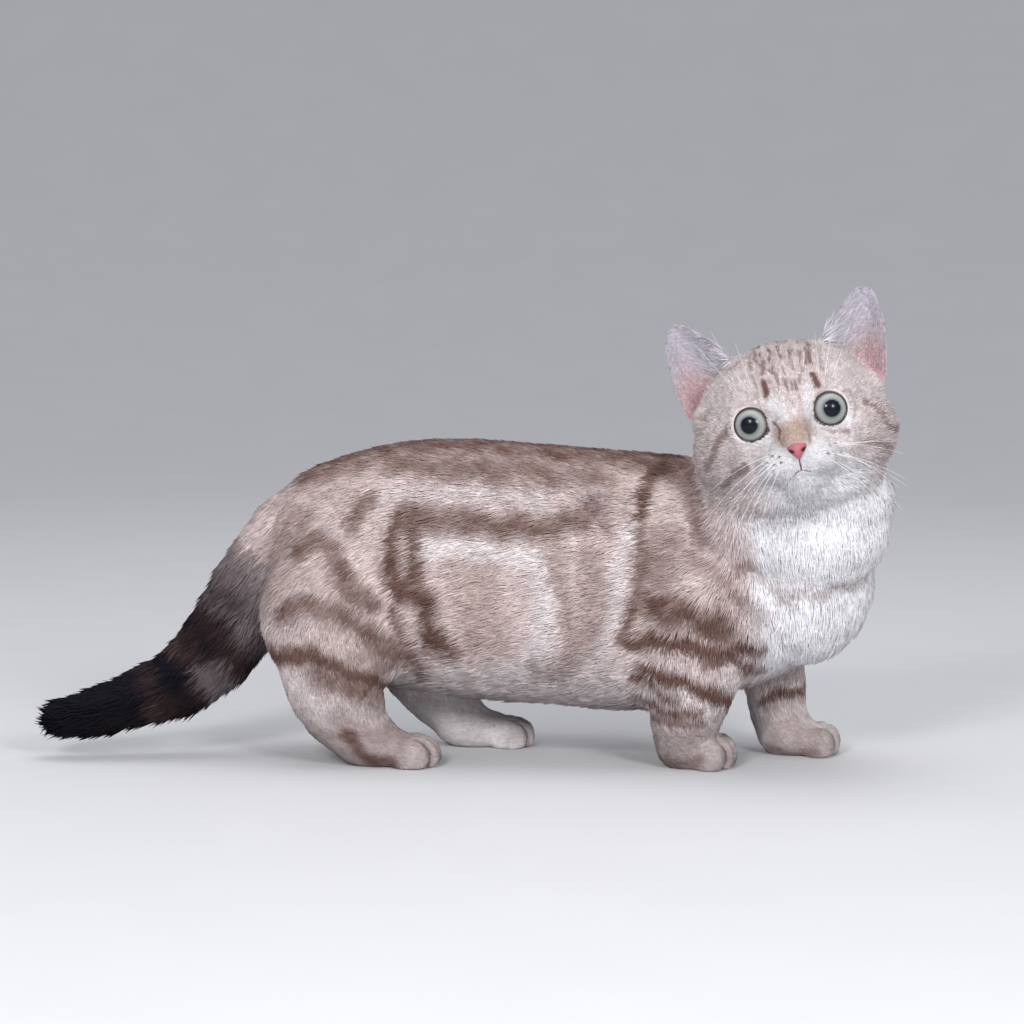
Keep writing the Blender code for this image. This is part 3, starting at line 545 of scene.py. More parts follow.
def tail_fur(mm, wobble, z, coat):
    """Colour and darkness of the tail's fur, and how far along the tail each point lies."""
    ground = np.array(coat.ground)
    reach = along_tail(mm + wobble * 0.8)
    middle = np.interp(-mm[:, 0] - wobble[:, 0], -TAIL_LINE[:, 0], TAIL_LINE[:, 2])
    shade = np.interp(reach, *np.transpose(TAIL_RINGS)) * (0.80 + 0.30 * smooth_step(-8, 8, z - middle))
    grey = ground * 0.60 + np.array((0.0, 0.02, 0.05))
    return blend(ground, grey, smooth_step(20, 60, reach)), shade, reach


def face_marks(local, wavy):
    """Darkness and paleness from the head's strokes and the whiskers' roots."""
    shade, lift = np.zeros(len(local)), np.zeros(len(local))
    for darkness, half_width, line in HEAD_STROKES:
        gap = distance_to_line(wavy, line)
        if darkness > 0:
            mask = 1 - smooth_step(half_width * 0.7, half_width * 1.9 + 0.5, gap)
            shade = np.maximum(shade, mask * min(1.0, darkness * 1.25))
        else:
            lift = np.maximum(lift, (smooth_step(0, half_width * 2.0 + 1.8, gap) - 1) * darkness)
    for spot in WHISKER_SPOTS:
        gap = np.linalg.norm(local - np.array(spot), axis=1)
        shade = np.maximum(shade, 0.95 * (1 - smooth_step(0.45, 1.05, gap)))
    return shade, lift


def head_fur(points, wobble, back, coat):
    """Colour and darkness of the fur of the head."""
    ground, white, tan = (np.array(c) for c in (coat.ground, coat.white, coat.tan))
    local = to_head(points) / MM
    wavy = local + wobble * 0.22
    hx, hy, hz = local.T
    width = np.abs(hx)
    shade = 0.13 + 0.06 * ripple(points, 0.012, 21) + 0.10 * smooth_step(8, 28, hz)
    brow = (1 - smooth_step(10, 19, np.abs(hx - 2))) * smooth_step(3, 12, hz) * (1 - smooth_step(14, 34, hy))
    stripes = smooth_step(0.05, 0.85, np.sin(2 * math.pi * (wavy[:, 0] + 0.5) / 4.1))
    flecks = smooth_step(-0.35, 0.45, ripple(local * np.array((1.6, 0.7, 0.7)) * MM, 0.0055, 22))
    shade = shade + 0.12 * brow + 0.50 * brow * stripes * flecks
    dots = smooth_step(0.35, 0.9, ripple(local * MM, 0.0042, 23)) * (1 - smooth_step(16, 30, hy))
    shade = shade + 0.16 * dots * smooth_step(-16, -4, hz)
    shade = shade + 0.17 * smooth_step(20, 36, width) * (1 - smooth_step(-4, 12, hz))
    marks, lift = face_marks(local, wavy)
    shade = np.maximum(shade, marks)

    muzzle = 0.92 * (1 - smooth_step(0.70, 1.30, np.sqrt((hx / 19) ** 2 + ((hz + 22) / 12) ** 2)))
    muzzle *= 1 - smooth_step(-24, -12, hy)
    chin = (1 - smooth_step(-27, -18, hz)) * (1 - smooth_step(0, 18, hy))
    chin *= 1 - smooth_step(14, 29, np.abs(hx - 5))
    for side in (1, -1):
        ring = np.linalg.norm(local - np.array((side * 15.5, -27.0, -2.5)), axis=1)
        muzzle = np.maximum(muzzle, 0.42 * (1 - smooth_step(8.6, 11.5, ring)))
    pale = np.clip(np.maximum(muzzle, chin), 0, 1)
    bridge = 1 - smooth_step(0.5, 1.1, np.sqrt((hx / 8.8) ** 2 + ((hz + 7.5) / 7.2) ** 2))
    bridge *= 1 - smooth_step(-34, -28, hy)
    colour = np.repeat((ground * 0.68 + white * 0.25)[None], len(points), axis=0)
    colour = blend(colour, white * 0.74, np.maximum(pale, lift))
    colour = blend(colour, tan * 0.80 + ground * 0.10, bridge * 0.92)
    shade = shade * (1 - 0.9 * np.maximum(pale * (shade < 0.40), lift))
    return colour, np.maximum(shade, smooth_step(2, 24, hy) * (0.20 + 0.10 * back))


def coat_colours(points, zones, coat):
    """The colour of the fur at each point of the skin."""
    ground, band, white, dark = (np.array(c) for c in (coat.ground, coat.band, coat.white, coat.dark))
    on_head, on_tail, on_ear = (lies_on(zones, *names) for names in (HEAD_PARTS, TAIL_PARTS, EARS))
    wobble = wavering(points)
    height = points[:, 2] / MM + wobble[:, 2]
    colour, shade = body_fur(points, wobble, coat)

    tail_colour, tail_shade, reach = tail_fur(points / MM, wobble, height, coat)
    tail = on_tail * smooth_step(6, 38, reach)
    colour = blend(colour, tail_colour, tail)
    shade = shade + (tail_shade - shade) * tail

    face, face_shade = head_fur(points, wobble, smooth_step(95, 135, height), coat)
    colour = np.where(on_head[:, None], face, colour)
    colour = np.where(on_ear[:, None], ground * 0.80 + white * 0.15, colour)
    shade = np.where(on_ear, 0.10, np.where(on_head, face_shade, shade))

    charcoal = band * 0.22 + dark * 0.78
    deep = blend(band, charcoal, on_tail * smooth_step(5, 45, reach))
    result = colour + (deep - colour) * np.clip(shade, 0, 1)[:, None]
    return np.clip(blend(result, dark, np.clip((shade - 1) * 1.3, 0, 1)), 0, 1)


def owners_of(points):
    """The place in FLESH of the part that each point lies on."""
    tops, faces, owners = [], [], []
    for index, name in enumerate(FLESH):
        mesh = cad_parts[name].data
        start = len(tops)
        tops += [v.co.copy() for v in mesh.vertices]
        for polygon in mesh.polygons:
            faces.append([start + i for i in polygon.vertices])
            owners.append(index)
    tree = BVHTree.FromPolygons(tops, faces)
    return np.array([owners[tree.find_nearest(Vector(p))[2]] for p in points])


def neighbours(mesh):
    return all_values(mesh.edges, "vertices", 2, np.int64)


def spread(values, edges, rounds):
    """Each value drawn towards its neighbours' mean, that many times."""
    count = len(values)
    both = np.concatenate((edges, edges[:, ::-1]))
    degree = np.maximum(np.bincount(both[:, 0], minlength=count), 1)
    values = np.array(values, dtype=float)
    columns = values.reshape(count, -1)
    for _ in range(rounds):
        total = np.stack(
            [np.bincount(both[:, 0], weights=column[both[:, 1]], minlength=count) for column in columns.T],
            axis=1,
        )
        columns = 0.4 * columns + 0.6 * total / degree[:, None]
    return columns.reshape(values.shape)


EAR_GROWTH = 0.0009  # keeps the thin rims through the fusing; taken off again afterwards

# Soft fillings in the head's own axes: middle and radii in mm
PADDING = (
    ((36.5, 2.0, 1.0), (6.0, 13.0, 12.0)),
    ((-36.5, 2.0, 1.0), (6.0, 13.0, 12.0)),
    ((0.0, -8.0, -33.0), (30.0, 22.0, 10.0)),
)


def fatten(piece, amount):
    """Merges a copied part's loose triangles and moves them out a little."""
    choose(piece)
    bpy.ops.object.mode_set(mode="EDIT")
    bpy.ops.mesh.select_all(action="SELECT")
    bpy.ops.mesh.remove_doubles(threshold=0.00001)
    bpy.ops.transform.shrink_fatten(value=amount, use_even_offset=False)
    bpy.ops.object.mode_set(mode="OBJECT")


def padding(middle, radii):
    egg = new_ball("padding", segments=32, rings=20, radius=MM)
    egg.data.transform(HEAD @ Matrix.Translation(Vector(middle) * MM) @ Matrix.Diagonal((*radii, 1)))
    return egg


def fused_copy(grain):
    """One closed surface round copies of the body's parts."""
    copies = []
    for name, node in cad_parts.items():
        copies.append(linked(node.data.copy()))
        copies[-1].name = "copy_" + name
        fatten(copies[-1], EAR_GROWTH if name.startswith("ear") else 0.0003)
    copies += [padding(*mass) for mass in PADDING]
    choose(*copies)
    bpy.ops.object.join()
    skin = bpy.context.view_layer.objects.active
    skin.name = "skin"
    skin.data.name = "skin"
    for kind, settings in (
        ("REMESH", {"mode": "VOXEL", "voxel_size": grain}),
        ("SMOOTH", {"factor": 0.5, "iterations": 7}),
    ):
        modifier = skin.modifiers.new(kind.lower(), kind)
        for key, value in settings.items():
            setattr(modifier, key, value)
        bpy.ops.object.modifier_apply(modifier=modifier.name)
    return skin


def largest_surface(skin):
    """Drops every loose scrap but the largest closed surface."""
    bm = bmesh.new()
    bm.from_mesh(skin.data)
    left = set(bm.verts)
    islands = []
    while left:
        start = left.pop()
        island, edge = [start], [start]
        while edge:
            vertex = edge.pop()
            for link in vertex.link_edges:
                other = link.other_vert(vertex)
                if other in left:
                    left.discard(other)
                    island.append(other)
                    edge.append(other)
        islands.append(island)
    islands.sort(key=len)
    for island in islands[:-1]:
        bmesh.ops.delete(bm, geom=island, context="VERTS")
    bmesh.ops.triangulate(bm, faces=bm.faces[:])
    bm.to_mesh(skin.data)
    bm.free()


def thin_body(skin, share):
    """Fewer faces on the body, all of them kept on the head and feet."""
    points = vertex_array(skin.data)
    local = to_head(points)
    fine = (np.linalg.norm(local, axis=1) < 0.062) | (points[:, 2] < 0.024)
    group = skin.vertex_groups.new(name="plain")
    group.add([int(i) for i in np.where(~fine)[0]], 1.0, "REPLACE")
    modifier = skin.modifiers.new("thin", "DECIMATE")
    modifier.ratio = share
    modifier.vertex_group = "plain"
    choose(skin)
    bpy.ops.object.modifier_apply(modifier=modifier.name)
    skin.vertex_groups.clear()


def coat_sizes(points, zones):
    """Depth, length and width in mm and overlap of the tufts at each point."""
    sizes = np.array([COAT[name] for name in FLESH])[zones]
    x, _, z = (points / MM).T
    local = to_head(points) / MM
    hx, hy, hz = local.T
    head = lies_on(zones, "head")
    cheek = smooth_step(24, 40, np.abs(hx)) * (1 - smooth_step(-2, 10, hz))
    length = (
        3.3 - 1.3 * (1 - smooth_step(-30, -8, hy)) + 0.4 * smooth_step(14, 28, hz) + 2.0 * cheek
        + 3.0 * smooth_step(-2, 24, hy) + 2.4 * (1 - smooth_step(-34, -20, hz)))
    near_nose = 1 - smooth_step(5, 15, np.linalg.norm(local - np.array((0, -42, -12)), axis=1))
    length *= 1 - 0.45 * near_nose
    on_face = np.stack([0.25 + 0.21 * length, length, 0.215 + 0.025 * length], axis=1)
    sizes[head, :3] = on_face[head]
    sizes[:, 1] += smooth_step(112, 126, x) * smooth_step(30, 60, z) * ~head * 0.8
    under = (1 - smooth_step(30, 46, z)) * lies_on(zones, "abdomen", "chest", "rump")
    sizes[:, 1] += under * 3.5
    sizes[:, 0] += under * 1.2
    return sizes


def lie_of_coat(points, zones, normals):
    """The way the fur lies at each point."""
    mm = points / MM
    x, _, z = mm.T
    lie = np.zeros_like(points)
    away = unit(to_head(points) - NOSE_TIP)
    away[:, 1] = np.maximum(away[:, 1], 0.05)
    front = smooth_step(104, 124, x)
    flank, breast = (np.repeat([way], len(x), axis=0) for way in ((-1.0, 0.0, -0.28), (0.10, -0.10, -1.0)))
    trunk = blend(flank, breast, front)
    trunk[:, 2] *= np.where(front < 0.5, 1 - smooth_step(112, 134, z), 1)
    neck = np.column_stack((-0.55 + 0.6 * front, 0.05 + 0 * x, -0.75 + 0 * x))
    steps = TAIL_LINE[1:] - TAIL_LINE[:-1]
    runs = np.concatenate(([0], np.cumsum(np.linalg.norm(steps, axis=1))))
    middles = (runs[1:] + runs[:-1]) / 2
    reach = along_tail(mm)
    tail = np.stack([np.interp(reach, middles, unit(steps)[:, k]) for k in range(3)], axis=1)
    for names, way in (
        (("head",), away @ HEAD_TURN.T),
        (("chest", "abdomen"), trunk),
        (("neck",), neck),
        (TAIL_PARTS, tail),
    ):
        mine = lies_on(zones, *names)
        lie[mine] = way[mine]
    for names, way in (
        (EARS, HEAD_TURN @ np.array((0.0, 0.10, 1.0))),
        (("rump",), (-0.90, 0.0, -0.45)),
        (("thigh_left", "thigh_right"), (-0.65, 0.0, -0.75)),
        (("shank_left", "shank_right"), (0.25, 0.0, -1.0)),
        (("foreleg_left", "foreleg_right"), (0.02, -0.02, -1.0)),
        (("hind_foot_left", "hind_foot_right"), (1.0, -0.10, -0.30)),
        (("forepaw_left", "forepaw_right"), (0.9, -0.30, -0.45)),
    ):
        lie[lies_on(zones, *names)] = way
    lie = unit(lie)
    return lie - normals * (lie * normals).sum(axis=1, keepdims=True)


def lid_opening(x, y, sideways, face):
    """How near each direction is to the eye's inner corner, and how far the lids' opening reaches there."""
    corner = np.exp(-((np.arctan2(y, -sideways * x) + 0.55) / 0.30) ** 2)
    return corner, face.opening * (1 + 0.13 * corner)


def shape_lids(points, face):
    """Draws the skin in round each eye: a lid's edge on the eyeball, and a soft fold outside it."""
    ball = math.sqrt(face.eye_radius ** 2 - face.opening ** 2)
    for sideways in (1, -1):
        moved = in_eye_frame(points, sideways)
        x, y, z = moved.copy().T
        radius = np.hypot(x, y)
        _, opening = lid_opening(x, y, sideways, face)
        near = (radius < 0.0125) & (z > 0)
        share = smooth_step(opening, opening + 0.0042, radius)
        height = z * share + (ball + 0.0004 + 0.0004 * np.sin(share * math.pi)) * (1 - share)
        moved[:, 2] = np.where(near & (radius >= opening), height, z)
        rim = near & (radius < opening) & (radius > opening - LID_EDGE)
        inner = near & (radius <= opening - LID_EDGE)
        moved[rim, :2] *= (opening / np.maximum(radius, 1e-6))[rim, None]
        moved[rim, 2] = ball - 0.0002
        moved[inner, :2] *= 0.90
        moved[inner, 2] = 0.001
        points = np.where(near[:, None], placed(moved, eye_frame(sideways)), points)
    return points


MOUTH = {
    "philtrum": ((0.0, -43.4, -17.6), (0.0, -43.9, -20.0), (0.0, -43.6, -22.4)),
    "lip_right": ((0.0, -43.6, -22.4), (-2.4, -43.2, -23.4), (-5.2, -42.0, -25.4), (-7.6, -40.2, -28.0)),
    "lip_left": ((0.0, -43.6, -22.4), (2.4, -43.2, -23.4), (5.6, -42.0, -24.6), (9.0, -39.6, -26.0),
                 (11.8, -37.0, -28.2)),
}


def skin_tree(context):
    """The finished skin, ready to be looked up."""
    return BVHTree.FromObject(bpy.data.objects["skin"], context.evaluated_depsgraph_get())


def on_skin(tree, x, z):
    """The point on the face in front of the head's own (x, z), in mm, and the skin's normal there."""
    start = HEAD @ Vector((x * MM, -0.090, z * MM))
    spot, normal, _, _ = tree.ray_cast(start, (HEAD.to_3x3() @ Vector((0, 1, 0))).normalized())
    if spot is None:
        raise RuntimeError("no skin in front of the face")
    return spot, normal


LILAC = np.array((-0.02, -0.03, 0.03))


def ear_place(local):
    """How far out each point is across its ear, 0 at the inner edge and 1 at the outer one."""
    x, z = np.abs(local[:, 0]), local[:, 2]
    inner = np.interp(z, (23.8, 30.3, 37.1, 43.2, 48.0, 48.8), (17.2, 19.5, 25.3, 31.6, 37.6, 39.6))
    outer = np.interp(z, (0.3, 8.7, 21.3, 33.8, 45.2, 47.6), (39.2, 43.7, 46.3, 47.5, 45.8, 44.0))
    return (x - inner) / (outer - inner)


def ear_lining(local, coat):
    """Lilac white above, pink skin below, deepest in the middle of the root."""
    pink, white, ground = (np.array(c) for c in (coat.pink, coat.white, coat.ground))
    root = 1 - smooth_step(12, 31, local[:, 2])
    fold = np.exp(-((ear_place(local) - 0.72) / 0.24) ** 2) * (1 - smooth_step(20, 40, local[:, 2]))
    lining = np.repeat((ground * 0.25 + white * 0.36 + LILAC)[None], len(local), axis=0)
    return blend(lining, pink * 0.85, np.clip(root * 0.75 + fold * 0.65, 0, 1))


class KITTEN_OT_skin(bpy.types.Operator):
    """Fuses the body's parts into one skin, inside them by the coat's depth"""

    bl_idname = "kitten.skin"
    bl_label = "Skin"

    def execute(self, context):
        coat, face = context.scene.kitten_coat, context.scene.kitten_face
        skin = fused_copy(coat.grain * (1.0))
        largest_surface(skin)
        thin_body(skin, 0.5)
        mesh = skin.data
        points, normals = vertex_array(mesh), normal_array(mesh)
        edges, zones = neighbours(mesh), owners_of(points)
        sizes = spread(coat_sizes(points, zones), edges, 12)
        headed = spread(lies_on(zones, *HEAD_PARTS).astype(float), edges, 10)
        sizes = blend(spread(sizes, edges, 60), sizes, headed)
        ears = lies_on(zones, *EARS)
        depth = sizes[:, 0] * MM + spread(ears * (EAR_GROWTH - 0.0004), edges, 2)
        points = self.smoothed(points - normals * depth[:, None], edges, 4 * headed * (1 - headed) * ~ears)
        points = shape_lids(self.carved(points, normals), face)
        move_vertices(mesh, points)
        normals = normal_array(mesh)
        colours = coat_colours(points, zones, coat)
        inside = ears & ((normals @ HEAD_TURN)[:, 1] < 0.15)
        colours = np.where(inside[:, None], ear_lining(to_head(points) / MM, coat), colours)
        keep_values(mesh, "lie", spread(lie_of_coat(points, zones, normals), edges, 30), "FLOAT_VECTOR")
        keep_values(mesh, "sizes", sizes[:, :3], "FLOAT_VECTOR")
        keep_values(mesh, "overlap", sizes[:, 3], "FLOAT")
        keep_values(mesh, "zone", zones.astype(float), "FLOAT")
        keep_values(mesh, "coat", np.column_stack((colours, np.ones(len(colours)))), "FLOAT_COLOR")
        choose(skin)
        bpy.ops.object.mode_set(mode="EDIT")
        bpy.ops.mesh.select_all(action="SELECT")
        bpy.ops.uv.smart_project(angle_limit=math.radians(66), island_margin=0.002)
        bpy.ops.object.mode_set(mode="OBJECT")
        mesh.uv_layers[0].name = "OFBake"
        bpy.ops.object.shade_smooth()
        mesh.materials.clear()
        mesh.materials.append(furry("short_fur", scale=1400, contrast=0.22, bump=0.6, roughness=0.85,
                                    Specular_IOR_Level=0.15))
        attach(skin, "root")
        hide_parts(*FLESH)
        return {"FINISHED"}

    @staticmethod
    def smoothed(points, edges, border):
        """Softens the step between head and neck, and the jaw."""
        border = np.clip(2 * spread(border, edges, 12), 0, 1)
        points = blend(points, spread(points, edges, 60), border)
        x, y, z = (to_head(points) / MM).T
        jaw = (1 - smooth_step(-30, -25, z)) * smooth_step(-46, -40, z)
        jaw = jaw * (1 - smooth_step(0, 14, y)) * (1 - smooth_step(30, 40, np.abs(x)))
        return blend(points, spread(points, edges, 40), jaw)

    @staticmethod
    def carved(points, normals):
        """Cuts the gaps between the toes and the groove of the mouth."""
        gap, over = toe_gaps(points)
        depth = over * (1.0 * np.exp(-(gap / 1.0) ** 2) - 0.30) * MM
        points = points - normals * depth[:, None]
        local = to_head(points) / MM
        for line in MOUTH.values():
            groove = 0.35 * MM * (1 - smooth_step(0.3, 1.4, distance_to_line(local, line)))
            points = points - normals * groove[:, None]
        points[:, 2] = np.maximum(points[:, 2], 0.0003)
        return points


def triangles_of(mesh):
    mesh.calc_loop_triangles()
    return [all_values(mesh.loop_triangles, field, 3, np.int64) for field in ("vertices", "loops")]


def bald(middle):
    """Where no tufts grow: on the eyes and the soles."""
    bare = middle[:, 2] < 0.0008
    for sideways in (1, -1):
        local = in_eye_frame(middle, sideways)
        bare |= (np.hypot(local[:, 0], local[:, 1]) < 0.0083) & (local[:, 2] > -0.002) & (local[:, 2] < 0.014)
    return bare


def grown_coat(skin, coat):
    """Draws the root, way, size and colour of every tuft."""
    mesh = skin.data
    points, normals = vertex_array(mesh), normal_array(mesh)
    lie, sizes = read_values(mesh, "lie", 3), read_values(mesh, "sizes", 3)
    corners, loops = triangles_of(mesh)
    uv = all_values(mesh.uv_layers["OFBake"].data, "uv", 2, np.float32)

    a, b, c = (points[corners[:, k]] for k in range(3))
    outward = np.cross(b - a, c - a)
    area = np.linalg.norm(outward, axis=1) / 2 / MM ** 2
    middle = (a + b + c) / 3
    size = sizes[corners].mean(axis=1)
    density = read_values(mesh, "overlap", 1)[corners].mean(axis=1) / (0.5 * size[:, 1] * size[:, 2])
    zone = np.rint(read_values(mesh, "zone", 1)).astype(int)[corners[:, 0]]
    ear = lies_on(zone, *EARS)
    local = to_head(middle) / MM
    across, up = ear_place(local), local[:, 2]
    lining = ear & ((outward @ HEAD_TURN)[:, 1] < 0) & (up > 8)
    density = np.where(lining, 1.4 / (0.5 * 5.0 * 0.24), density)
    at_rim = ((across < 0.10) | (across > 0.88) | (up > 45.5)) & (up > 6)
    density[(ear & ~lining & at_rim) | bald(middle)] = 0

    rng = np.random.default_rng(coat.seed)
    want = np.cumsum(density * area)
    count = int(want[-1])
    pick = np.searchsorted(want, (np.arange(count) + rng.uniform(0, 1, count)) * want[-1] / count)
    pick = np.minimum(pick, len(want) - 1)
    r1, r2 = np.sqrt(rng.uniform(0, 1, count)), rng.uniform(0, 1, count)
    weight = np.stack([1 - r1, r1 * (1 - r2), r1 * r2], axis=1)[:, :, None]
    root, normal, way, size = (
        (values[corners[pick]] * weight).sum(axis=1) for values in (points, normals, lie, sizes))
    normal = unit(normal)
    patch = (uv[loops[pick]] * weight).sum(axis=1)
    zone, lining = zone[pick], lining[pick]

    at_ear = to_head(root) / MM
    across, up, still = ear_place(at_ear), at_ear[:, 2], np.zeros(count)
    sweep = np.column_stack(
        (np.sign(at_ear[:, 0]) * (1.0 - 0.50 * across), still - 0.04, 0.15 + 0.85 * across))
    way = np.where(lining[:, None], sweep @ HEAD_TURN.T, way)
    tufted = np.exp(-(across / 0.16) ** 2) * smooth_step(12, 20, up) * (1 - smooth_step(30, 38, up))
    inner_hair = np.column_stack(
        (0.55 + 0.9 * tufted, 6.5 - 4.5 * np.clip(across, 0, 1) + 2.5 * tufted, still + 0.24))
    inner_hair[:, :2] *= (1 - 0.55 * smooth_step(33, 46, up))[:, None]
    size = np.where(lining[:, None], inner_hair, size)

    way = unit(way - normal * (way * normal).sum(axis=1, keepdims=True))
    swing = rng.normal(0, 0.15, count) + 0.15 * ripple(root, 0.013, 31) + 0.12 * ripple(root, 0.004, 32)
    way = way * np.cos(swing)[:, None] + np.cross(normal, way) * np.sin(swing)[:, None]
    length = size[:, 1] * rng.uniform(0.70, 1.20, count) * MM
    width = size[:, 2] * rng.uniform(0.75, 1.25, count) * MM
    rise = size[:, 0] * rng.uniform(0.45, 1.10, count) * MM * np.where(lies_on(zone, *TAIL_PARTS), 1.35, 1)
    rise *= 1 + 0.25 * ripple(root, 0.009, 33)

    hair = ear_lining(at_ear, coat) * 0.54 + np.array(coat.white) * (0.24 + 0.20 * tufted)[:, None]
    hair = hair * np.exp(0.16 * ripple(root, 0.0016, 36))[:, None]
    colour = np.where(lining[:, None], hair, coat_colours(root, zone, coat))
    bright = smooth_step(0.50, 0.75, colour.mean(axis=1))
    uneven = np.where(lies_on(zone, "head"), 0.17, 0.12) * (1 - 0.5 * bright)
    value = rng.normal(0, 1, count) * uneven + 0.05 * (ripple(root, 0.005, 34) + ripple(root, 0.0022, 35))
    return {
        "root": root, "normal": normal, "way": way, "aside": np.cross(normal, way), "length": length,
        "width": width, "rise": rise, "patch": patch, "zone": zone, "lining": lining,
        "colour": np.clip(colour * np.exp(value)[:, None], 0, 1),
    }


TUFT_FACES = np.array(((0, 2, 1), (3, 1, 2), (0, 1, 3), (0, 3, 2)))
# Each tuft's colour is darkened towards its root, painted shade where the tufts crowd, and made a little
# paler at the tip
TUFT_PAINTED_SHADE = np.array((0.92, 0.99, 0.99, 1.04))  # from root to tip
TUFT_PATCH = np.array(((0, -0.0015), (-0.0009, 0.0), (0.0009, 0.0), (0, 0.0015)))  # of the baked map


def tuft_mesh(name, t):
    """One mesh of bent tufts: slivers of four faces, pointed at root and tip and arched between them."""
    root, normal, way, aside, colour = (t[key] for key in ("root", "normal", "way", "aside", "colour"))
    length, width, rise = (t[key][:, None] for key in ("length", "width", "rise"))
    base = root - normal * 0.0003 - way * length * 0.05
    waist = root + way * length * 0.42 + normal * rise * 0.72
    tip = root + way * length + normal * rise
    half = aside * width * 0.5
    points = np.stack([base, waist + half, waist - half, tip], axis=1).reshape(-1, 3)
    points[:, 2] = np.maximum(points[:, 2], 0.0002)
    faces = (np.arange(len(root))[:, None, None] * 4 + TUFT_FACES).reshape(-1, 3)
    mesh = mesh_from_arrays(name, points, faces)
    # The tufts' colours with painted shade at the root
    shaded_colours = np.clip(colour[:, None, :] * TUFT_PAINTED_SHADE[:, None], 0, 1).reshape(-1, 3)
    keep_values(mesh, "coat", np.column_stack((shaded_colours, np.ones(len(shaded_colours)))), "FLOAT_COLOR")

    # Shading normals lean on the skin's, and those of the ears' edges towards the front
    ear = lies_on(t["zone"], *EARS) & ~t["lining"]
    flat = np.where(ear, 0.5, np.where(lies_on(t["zone"], "head"), 0.7, 1.0))[:, None]
    rim = ear * (1 - smooth_step(0.30, 0.85, (normal @ HEAD_TURN)[:, 1])) + 0.55 * t["lining"]
    soft = normal * flat + (HEAD_TURN @ np.array((0.0, -1.0, 0.35))) * rim[:, None]
    over = aside * (0.62 - 0.34 * smooth_step(0.45, 0.75, colour.mean(axis=1)))[:, None]
    bend = soft[:, None, :] + np.stack([-0.35 * way, over, -over, 0.10 * way], axis=1)
    mesh.normals_split_custom_set_from_vertices(unit(bend.reshape(-1, 3)).astype(np.float32))
    layer = mesh.uv_layers.new(name="OFBake")
    uv = (t["patch"][:, None, :] + TUFT_PATCH).reshape(-1, 2)
    layer.data.foreach_set("uv", uv[faces.ravel()].astype(np.float32).ravel())
    return mesh


PIECE_LIMIT = 45000  # tufts in one piece, of four faces each
COAT_PIECES = {
    "coat_head": ("head",),
    "coat_ears": EARS,
    "coat_neck": ("neck",),
    "coat_chest": ("chest",),
    "coat_flanks": ("abdomen",),
    "coat_rump": ("rump", "thigh_left", "thigh_right"),
    "coat_legs": ("shank_left", "shank_right", "foreleg_left", "foreleg_right"),
    "coat_feet": ("hind_foot_left", "hind_foot_right", "forepaw_left", "forepaw_right"),
    "coat_tail": TAIL_PARTS,
}


class KITTEN_OT_coat(bpy.types.Operator):
    """Covers the skin with tufts that follow the lie of the coat"""

    bl_idname = "kitten.coat"
    bl_label = "Coat"

    def execute(self, context):
        skin = bpy.data.objects.get("skin")
        if skin is None:
            raise RuntimeError("make the skin before the coat")
        tufts = grown_coat(skin, context.scene.kitten_coat)
        pale, dusky = (
            furry(name, scale=700, contrast=0.12, bump=0.1, roughness=0.62, Specular_IOR_Level=gloss)
            for name, gloss in (("fur", 0.22), ("dark_fur", 0.06)))
        root = tufts["root"]
        order = root[:, 0] + 10 * (root[:, 1] > 0.018)
        for name, parts in COAT_PIECES.items():
            mine = np.where(lies_on(tufts["zone"], *parts))[0]
            mine = mine[np.argsort(order[mine], kind="stable")]
            shares = np.array_split(mine, max(1, math.ceil(len(mine) / PIECE_LIMIT)))
            for number, chosen in enumerate(shares, 1):
                label = name if len(shares) == 1 else f"{name}_{number}"
                piece = linked(tuft_mesh(label, {key: values[chosen] for key, values in tufts.items()}))
                piece.data.materials.append(dusky if name == "coat_tail" else pale)
                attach(piece, "root")
        return {"FINISHED"}


def new_material(name, colour=(0.8, 0.8, 0.8), roughness=0.6, **sockets):
    material = bpy.data.materials.new(name)
    material.use_nodes = True
    shader = material.node_tree.nodes["Principled BSDF"]
    shader.inputs["Base Color"].default_value = (*colour, 1)
    shader.inputs["Roughness"].default_value = roughness
    for key, value in sockets.items():
        shader.inputs[key.replace("_", " ")].default_value = value
    return material, material.node_tree, shader


def feed(tree, socket, source):
    """Links a socket to another node's output, or sets it to a plain value."""
    if isinstance(source, bpy.types.NodeSocket):
        tree.links.new(source, socket)
    else:
        socket.default_value = (*source, 1) if socket.type == "RGBA" else source


def add_node(tree, kind, **values):
    """A node with its inputs fed and its settings made by name."""
    node = tree.nodes.new(kind)
    for key, value in values.items():
        name = key.replace("_", " ")
        if name in node.inputs:
            feed(tree, node.inputs[name], value)
        else:
            setattr(node, key, value)
    return node


def combine(tree, operation, *sources, kind="ShaderNodeMath"):
    """What a maths node makes of these sources, each a socket or a plain value."""
    node = add_node(tree, kind, operation=operation)
    for socket, source in zip(node.inputs, sources):
        feed(tree, socket, source)
    return node.outputs[0]


def mixed(tree, factor, first, second):
    """The colour between two colours, each a socket or three plain values."""
    node = add_node(tree, "ShaderNodeMix", data_type="RGBA", Factor=factor)
    for index, source in ((6, first), (7, second)):
        feed(tree, node.inputs[index], source)
    return node.outputs[2]


def add_bump(tree, shader, height, strength, distance):
    relief = add_node(tree, "ShaderNodeBump", Height=height, Strength=strength, Distance=distance)
    tree.links.new(relief.outputs["Normal"], shader.inputs["Normal"])


def own_place(tree):
    """The piece's own coordinates, which stay on it."""
    return tree.nodes.new("ShaderNodeTexCoord").outputs["Object"]


